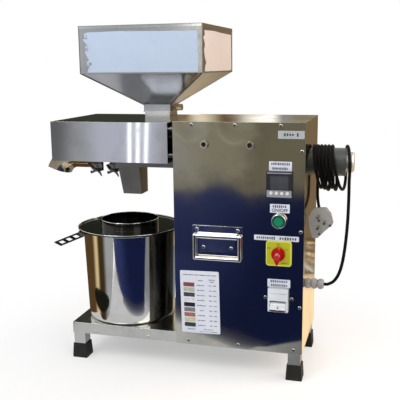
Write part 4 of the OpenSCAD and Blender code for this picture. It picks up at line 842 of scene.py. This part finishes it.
def flaps(name, sheets, finish, body):
    points, faces = [], []
    for rows in sheets:
        first, wide = len(points), len(rows[0])
        points += [p for row in rows for p in row]
        starts = [first + i * wide + j for i in range(len(rows) - 1) for j in range(wide - 1)]
        faces += [(start, start + 1, start + wide + 1, start + wide) for start in starts]
    piece = mesh_object(name, points, faces)
    for face in piece.data.polygons:
        face.use_smooth = True
    piece.modifiers.new("thick", "SOLIDIFY").thickness = CURL_THICK
    ride(piece, finish, body)


curls = [flap(20, 12, 9, 11, 2.2), flap(16, 42, 6, 9, 2.6), flap(17, 62, 8, 12, 1.9)]
flaps("film_curls", curls, "film", "hopper")
print("curls", len(curls))

# %% Labels
plastic("label", (0.64, 0.67, 0.76), 0.42, (0.56, 0.60, 0.70), 10, 600.0, 18.0)
# The top label gets a greyer copy of the label finish.
plastic("label_greyer", (0.40, 0.45, 0.455), 0.42, (0.33, 0.37, 0.38), 10, 600.0, 18.0)
plastic("strip", (0.26, 0.27, 0.32), 0.4, (0.20, 0.21, 0.26), 20, 900.0)
LABEL_THICK = 0.2
CHART_COS, CHART_SIN = math.cos(math.radians(1.2)), math.sin(math.radians(1.2))
chart = plane((50.5, 0, 142.5), (CHART_COS, 0, CHART_SIN), (-CHART_SIN, 0, CHART_COS))
label_edges = [(184, 226, 406, 423.5), (186.5, 223, 328, 344.5), (157, 241, 274.8, 284.5),
               (183, 226, 185, 200.5)]
label_patches = [([rounded_box(*edges)], panel) for edges in label_edges]
label_patches.append(([rounded_box(-39, 39, -63.5, 63.5, 2.5)], chart))
flat_piece("labels", label_patches, LABEL_THICK, "label", "cabinet")
flat_piece("top_label", [([rounded_box(200, 248, 465, 479.5)], panel)], LABEL_THICK, "label_greyer", "cabinet")

# %% Strips of the controller and a painted highlight
KEY_GAP = 0.5
(case_x0, _, case_z0), (case_x1, _, case_z1) = extent("controller_case")
key_holes = []
for key in (f"controller_key_{number}" for number in (1, 2, 3, 4)):
    x, _, z = centre(key)
    key_holes.append(disc(x, z, extent(key)[1][0] - x + KEY_GAP))
key_strip = rounded_box(case_x0 + 1.2, case_x1 - 1.2, case_z0 + 1.2, case_z0 + 14, 1.2)
# The thin strip along the top is a painted highlight on the top edge of the bezel.
bezel_highlight = rounded_box(case_x0 + 1.5, case_x1 - 1.5, case_z1 - 3.2, case_z1 - 1.2, 0.8)
case_face = front_of("controller_case")
strips = [([key_strip] + key_holes, case_face), ([bezel_highlight], case_face)]
flat_piece("controller_strips_and_highlight", strips, 0.15, "strip", "cabinet")

# %% [markdown]
# ## Print
# Each printed word is a row of short dark bars, one to a letter, because the press carries no readable
# lettering apart from the ON and OFF of its heating button. The bars could be set one by one. A node tree
# that puts a bar on every point, with the point's own size and a seeded change of height, is quicker to
# change.

# %% Node tree for print
print_tree = bpy.data.node_groups.new("printed_bars", "GeometryNodeTree")
sockets = {}
for label, kind in (("Points", "Geometry"), ("Ink", "Material"), ("Seed", "Int"), ("Uneven", "Float")):
    sockets[label] = print_tree.interface.new_socket(label, in_out="INPUT", socket_type=f"NodeSocket{kind}")
print_tree.interface.new_socket("Printed", in_out="OUTPUT", socket_type="NodeSocketGeometry")


def grow(kind, **values):
    node = print_tree.nodes.new(kind)
    for key, value in values.items():
        setattr(node, key, value)
    return node


source, sink = grow("NodeGroupInput").outputs, grow("NodeGroupOutput").inputs
bar = grow("GeometryNodeMeshCube")
size = grow("GeometryNodeInputNamedAttribute", data_type="FLOAT_VECTOR")
size.inputs["Name"].default_value = "size"
least = grow("ShaderNodeMath", operation="SUBTRACT")
least.inputs[0].default_value = 1.0
# Inputs 2 and 3 of a random float are its least and its most.
chance = grow("FunctionNodeRandomValue", data_type="FLOAT")
chance.inputs[3].default_value = 1.0
scale = grow("ShaderNodeCombineXYZ")
fill(scale, {"X": 1.0, "Y": 1.0})
sized = grow("ShaderNodeVectorMath", operation="MULTIPLY")
spots = grow("GeometryNodeInstanceOnPoints")
whole = grow("GeometryNodeRealizeInstances")
inked = grow("GeometryNodeSetMaterial")
for start, end in (
        (source["Uneven"], least.inputs[1]), (least.outputs[0], chance.inputs[2]),
        (source["Seed"], chance.inputs["Seed"]), (chance.outputs[1], scale.inputs["Z"]),
        (size.outputs["Attribute"], sized.inputs[0]), (scale.outputs[0], sized.inputs[1]),
        (source["Points"], spots.inputs["Points"]), (bar.outputs["Mesh"], spots.inputs["Instance"]),
        (sized.outputs[0], spots.inputs["Scale"]), (spots.outputs["Instances"], whole.inputs["Geometry"]),
        (whole.outputs["Geometry"], inked.inputs["Geometry"]), (source["Ink"], inked.inputs["Material"]),
        (inked.outputs["Geometry"], sink["Printed"])):
    print_tree.links.new(start, end)
print("print tree", len(print_tree.nodes), "nodes")

# %% Bars for words
BAR_DEPTH = 0.00006


def printed(name, bars, finish, seed, uneven, body):
    mesh = bpy.data.meshes.new(name)
    mesh.from_pydata([b[0] for b in bars], [], [])
    mesh.attributes.new("size", "FLOAT_VECTOR", "POINT")
    mesh.attributes.new("tint", "FLOAT_COLOR", "POINT")
    for index, (_, wide, high, tint) in enumerate(bars):
        mesh.attributes["size"].data[index].vector = (wide / 1000, BAR_DEPTH, high / 1000)
        mesh.attributes["tint"].data[index].color = (*tint, 1)
    holder = new_object(name, mesh)
    modifier = holder.modifiers.new("bars", "NODES")
    modifier.node_group = print_tree
    for label, value in (("Ink", finishes[finish]), ("Seed", seed), ("Uneven", uneven)):
        modifier[sockets[label].identifier] = value
    ride(new_object(name, plain_mesh(holder)), finish, body)
    print("printed", name, len(bars), "bars")


def words(place, x0, x1, z, high, letters, lift=0.3):
    pitch = (x1 - x0) / (sum(letters) + 0.8 * (len(letters) - 1))
    row, x = [], x0
    for count in letters:
        row += [(place(x + pitch * (i + 0.5), z, lift), pitch * 0.62, high, (0, 0, 0)) for i in range(count)]
        x += pitch * (count + 0.8)
    return row


# %% Words and chart
# A row of words has its start and end, its height on the label, the height and the number of its letters.
# Rows on the switch plate are counted from PLATE_X and PLATE_Z and share one height of letters.
PLATE_X, PLATE_Z, PLATE_LETTER = 202.8, 251, 2.4
SWATCH_TOP, SWATCH_STEP = 35.4, 10.25
label_words = [(210, 238, 472.3, 6.5, (4, 1)), (187.5, 222.5, 419, 5.6, (11,)), (190, 219, 410.6, 5.6, (10,)),
               (191, 217.5, 340, 5.6, (7,)), (161, 197, 279.6, 6, (9,)), (204, 237, 279.6, 6, (7,)),
               (188, 221, 196.4, 5.4, (8,)), (189, 221, 188.8, 5.4, (9,))]
chart_words = [(-33, 33, 55, 2.6, (6, 8, 4, 9, 5, 6)), (-3.5, 6.5, 44, 2.6, (5,)), (17.5, 31, 46, 2.4, (8,)),
               (20, 29, 42, 2.4, (5,)), (-27, -11, -56, 2.2, (8,)), (5, 25, -55.5, 2.2, (4, 7)),
               (-3, 34, -60, 2.0, (5, 6, 7))]
seeds = [(0.22, 0.05, 0.05), (0.40, 0.40, 0.34), (0.045, 0.045, 0.05), (0.62, 0.62, 0.66),
         (0.008, 0.01, 0.016), (0.17, 0.17, 0.19), (0.34, 0.13, 0.08), (0.50, 0.47, 0.33),
         (0.035, 0.035, 0.028)]
name_spans = [(-6, 9.5)] * 4 + [(-6, 11.5), (-1, 7), (-6, 9.5), (-6, 9.5), (-6, 10.5)]
swatches = []
for number, (tint, name_span) in enumerate(zip(seeds, name_spans)):
    z = SWATCH_TOP - SWATCH_STEP * number
    swatches.append((chart(-21.7, z, 0.3), 22.4, 8.4, tint))
    chart_words += [(*name_span, z - 1, 2.6, (7,)), (18, 24, z - 1, 2.6, (3,)), (27, 33, z - 1, 2.6, (3,))]
breaker_words = [(188, 201, 174.9, 0.8, (8,)), (204, 220, 174.6, 1.2, (9,))]
plate_words = [(-3.3, 2.7, 17.8, 3), (-21, -13.6, 9.8, 3), (12.3, 19, 8.2, 3), (4.9, 18.2, -18, 6)]
breaker_face, plate_face = front_of("breaker_body"), front_of("switch_plate")
rows = []
for place, table in ((panel, label_words), (chart, chart_words), (breaker_face, breaker_words)):
    for row in table:
        rows += words(place, *row)
for x0, x1, z, count in plate_words:
    rows += words(plate_face, PLATE_X + x0, PLATE_X + x1, PLATE_Z + z, PLATE_LETTER, (count,), 0.06)
plastic("ink", (0.020, 0.024, 0.045), 0.5, (0.035, 0.04, 0.06), 10, 600.0)
printed("word_bars", rows, "ink", 7, 0.45, "cabinet")

# %% Swatches of the chart
seed_print, tree = new_material("seed_print")
paint = tree.nodes.new("ShaderNodeBsdfPrincipled")
paint.inputs["Roughness"].default_value = 0.4
tint = tree.nodes.new("ShaderNodeAttribute")
tint.attribute_name = "tint"
cells = tree.nodes.new("ShaderNodeTexVoronoi")
cells.inputs["Scale"].default_value = 520
tree.links.new(object_place(tree), cells.inputs["Vector"])
grainy = tree.nodes.new("ShaderNodeVectorMath")
grainy.operation = "SCALE"
tree.links.new(tint.outputs["Color"], grainy.inputs[0])
tree.links.new(spread(tree, cells.outputs["Distance"], 1.5, 0.45), grainy.inputs["Scale"])
tree.links.new(grainy.outputs[0], paint.inputs["Base Color"])
show(tree, paint)
finishes["seed_print"] = seed_print
printed("chart_swatches", swatches, "seed_print", 3, 0.0, "cabinet")

# %% ON and OFF
LETTERS_X, LETTERS_Z, LETTERS_LIFT = 204.8, 330, 0.28
letters = bpy.data.curves.new("on_off", "FONT")
letters.body = "ON/OFF"
letters.size = 8.2
letters.align_x = "CENTER"
letters.extrude = 0.04
letters.offset = 0.22
lettering = plain_mesh(new_object("on_off", letters))
for vert in lettering.vertices:
    vert.co = panel(LETTERS_X + vert.co.x, LETTERS_Z + vert.co.y, LETTERS_LIFT + vert.co.z)
ride(new_object("on_off", lettering), "ink", "cabinet")
print("letters", letters.body)

# %% [markdown]
# ## Small fittings
# Each heater band ends in a bent clamp lug with a terminal, the sieve and the hopper have rolled rims and
# welded seams, and the gland is three round beads. Such forms could be cut from solids. Curves with a round
# bevel and a radius at every point give the same soft form with few points. The panel's screws have cross
# recesses, which are two dark bars of painted shade on each head from the node tree for print. The bolts'
# sockets are flat dark discs of painted shade, and the plug screws are flat.

# %% Heater terminals
# A point of a lug has its place along the barrel, its depth, its height above the band's foot and its radius.
LUG = [(-14, 88, 15, 2.0), (-8, 87, 8, 2.8), (-1, 86.5, 4, 3.6), (5, 86.5, 2, 2.6), (10, 86, -3, 2.2),
       (13, 86, -9, 1.2)]
WING = [(-11, 86, -1, 3.4), (-5, 86, 0, 2.2), (1, 86.5, 4, 2.8)]


def bent(name, paths, finish, body, sides=3):
    mesh = plain_mesh(new_object(name, tube(name, paths, sides)))
    print("piece", name, len(mesh.polygons), "faces")
    return ride(new_object(name, mesh), finish, body)


lugs = []
for band in ("heater_band_near", "heater_band_far"):
    middle, foot = centre(band)[0], extent(band)[0][2]
    lugs += [[(middle + x, y, foot + z, r) for x, y, z, r in path] for path in (LUG, WING)]
bent("heater_terminals", lugs, "barrel_steel", "cabinet")

# %% Rims and seams
DISH_RADIUS, COLLAR_RADIUS, RIM_THICK = 107.5, 59.5, 0.8
NECK_HALF_X, NECK_HALF_Y, NECK_HIGH = 27.6, 26.6, 13
pot_x, pot_y, _ = centre("oil_pot")
dish_z, collar_z = extent("oil_pot")[1][2] + 3.3, extent("sieve")[1][2]
rims = [[(pot_x + a, pot_y + b, z, RIM_THICK) for a, b in circle(radius, 120)]
        for radius, z in ((DISH_RADIUS, dish_z), (COLLAR_RADIUS, collar_z))]
bent("sieve_rims", rims, "bright_wire", "sieve")
neck = (NECK_HALF_X, NECK_HALF_Y, hop_z0 + NECK_HIGH)
waist, brim = (half_x, half_y, cone_top), (half_x, half_y, hop_top)
seams = []
for a, b, r in ((neck, waist, 1.4), (waist, brim, 0.8)):
    for sx, sy in ((-1, -1), (-1, 1), (1, -1), (1, 1)):
        seams.append([(hop_x + sx * p[0], hop_y + sy * p[1], p[2], r) for p in (a, b)])
for x, y, z in (waist, brim):
    ring = [(hop_x + sx * x, hop_y + sy * y, z - 0.5, 0.7)
            for sx, sy in ((-1, -1), (1, -1), (1, 1), (-1, 1), (-1, -1))]
    seams += [[a, b] for a, b in zip(ring, ring[1:])]
bent("hopper_seams", seams, "seam_steel", "hopper")

# %% Painted shade in sockets and recesses
BOLT_HALF, SOCKET_RADIUS, SOCKET_Y = 7.5, 4.4, -2
RECESS_SHARE = 0.62
bolt_low, bolt_high = extent("gearbox_bolts")
socket_z = centre("gearbox_bolts")[2]
# The bolts' sockets are dark discs: painted shade in the hollow sockets.
socket_patches = [([disc(x, socket_z, SOCKET_RADIUS)], front(SOCKET_Y))
                  for x in (bolt_low[0] + BOLT_HALF, bolt_high[0] - BOLT_HALF)]
flat_piece("bolt_socket_shade", socket_patches, 0.3, "rubber", "cabinet")
# Each front screw head gets two dark bars: painted shade in its cross recess.
recesses = []
for low, high in front_heads:
    middle = [(a + b) / 2 for a, b in zip(low, high)]
    reach = (high[0] - low[0]) * 1000 * RECESS_SHARE
    for lift, wide, tall in ((0.00003, reach, reach / 3), (0.00004, reach / 3, reach)):
        recesses.append(((middle[0], low[1] - lift, middle[2]), wide, tall, (0, 0, 0)))
printed("screw_recess_shade", recesses, "rubber", 1, 0.0, "cabinet")

# %% Gland and plug
BEADS, BEAD_PARTS = 3, 72
GLAND_NECK, BEAD_WAIST, BEAD_SWELL = 7, 6.4, 3.6
PLUG_X, PLUG_Z, PLUG_SCREW = 283, 303, 2.5
wall, gland_end = extent("right_side_panel")[1][0], extent("cable_gland")[1][0]
bead = (gland_end - wall) / BEADS
steps = [(gland_end - wall) * i / BEAD_PARTS for i in range(BEAD_PARTS + 1)]
beads = [(wall - 9, *LEAD_EXIT[1:], GLAND_NECK), (wall - 0.1, *LEAD_EXIT[1:], GLAND_NECK)]
for step in steps:
    swell = math.sqrt(abs(math.sin(math.pi * step / bead)))
    beads.append((wall + step, *LEAD_EXIT[1:], BEAD_WAIST + BEAD_SWELL * swell))
gland = bent("gland", [beads], "gland_plastic", "cabinet", 8)
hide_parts("cable_gland")
plug_face = front_of("plug_face")
screw_patches = []
for x, z in ((PLUG_X - 10.2, PLUG_Z + 5.6), (PLUG_X + 10.7, PLUG_Z - 2.8), (PLUG_X - 9, PLUG_Z - 20)):
    slit = rounded_box(x - 1.9, x + 1.9, z - 0.4, z + 0.4, 0.2)
    screw_patches.append(([disc(x, z, PLUG_SCREW), slit], plug_face))
flat_piece("plug_screws", screw_patches, 1.4, "zinc", "cabinet")

# %% [markdown]
# ## Front controls
# The heating button has a bright round ring, and its cap's edge has a dark green ring of painted shade. The
# switch plate has round corners and a raised rim with a painted highlight in lighter yellow, its knob has a
# ridge for the fingers, and the breaker's levers end in faces painted black as painted shade. They could all
# be new solids. Only the plate's outline differs from its solid, so a cut sheet stands in for it, and the
# rest are bent tubes and thin sheets on the solids, each on the body that it moves with.

# %% Button
RING_RADIUS, RING_THICK, CAP_EDGE, CAP_FACE = 12.45, 1.15, 10.9, 8.3
button_x, _, button_z = centre("heater_button_cap")
collar_y = extent("heater_button_collar")[0][1]
ring = [(button_x + a, collar_y, button_z + b, RING_THICK) for a, b in circle(RING_RADIUS, 48)]
bent("button_ring", [ring], "bright_wire", "cabinet")
# The dark green ring round the cap's face is painted shade on the cap's edge.
plastic("green_edge_shade", (0.002, 0.075, 0.042), 0.3, (0.002, 0.05, 0.03))
cap_ring = [disc(button_x, button_z, CAP_EDGE, 48), disc(button_x, button_z, CAP_FACE, 48)]
flat_piece("cap_edge_shade", [(cap_ring, front_of("heater_button_cap"))], 0.15, "green_edge_shade", "heater_button")

# %% Switch
SHAFT_HOLE, RIM_IN = 4.5, 1.1
RIDGE_HALF, RIDGE_SUNK, RIDGE_TIP, RIDGE_SWELL = 12.5, 2.8, 0.4, 2.95
(plate_x0, plate_y, plate_z0), (plate_x1, _, plate_z1) = extent("switch_plate")
switch_x, _, switch_z = centre("switch_plate")
plate_outlines = [rounded_box(plate_x0, plate_x1, plate_z0, plate_z1, 5.0),
                  disc(switch_x, switch_z, SHAFT_HOLE)]
round_plate = flat_piece("round_plate", [(plate_outlines, panel)], -plate_y, "yellow_plate", "cabinet", 0)
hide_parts("switch_plate")
# The rim's lighter yellow is a painted highlight on the raised rim.
plastic("yellow_edge_highlight", (0.74, 0.76, 0.13), 0.3, (0.68, 0.70, 0.11))
rim = rounded_box(plate_x0 + RIM_IN, plate_x1 - RIM_IN, plate_z0 + RIM_IN, plate_z1 - RIM_IN, 4.0)
bent("plate_rim", [[(x, plate_y, z, 1.0) for x, z in rim + rim[:1]]], "yellow_edge_highlight", "cabinet")
ridge_y = extent("switch_knob")[0][1] + RIDGE_SUNK
ridge = [(switch_x, ridge_y, switch_z + RIDGE_HALF * s, RIDGE_TIP + RIDGE_SWELL * (1 + math.cos(math.pi * s)))
         for s in (i / 12 - 1 for i in range(25))]
bent("knob_ridge", [ridge], "red_knob", "switch_knob", 6)

# %% Breaker
LEVER_AXIS_Y, LEVER_AXIS_Z, LEVER_LONG = -1, 150, 14
LEVER_COS, LEVER_SIN = math.cos(math.radians(28)), math.sin(math.radians(28))
lever_tip = (switch_x, LEVER_AXIS_Y - LEVER_LONG * LEVER_COS, LEVER_AXIS_Z - LEVER_LONG * LEVER_SIN)
lever_end = plane(lever_tip, (1, 0, 0), (0, -LEVER_SIN, LEVER_COS))
# The levers' end faces get thin black sheets: painted shade.
end_edges = [(-14.8, -1.6, -3.3, 1.3), (-1.6, 1.6, -3.3, -0.2), (1.6, 14.8, -3.3, 1.3)]
ends = [([rounded_box(*edges, 0.3)], lever_end) for edges in end_edges]
flat_piece("toggle_end_shade", ends, 0.15, "black_plastic", "breaker_lever")
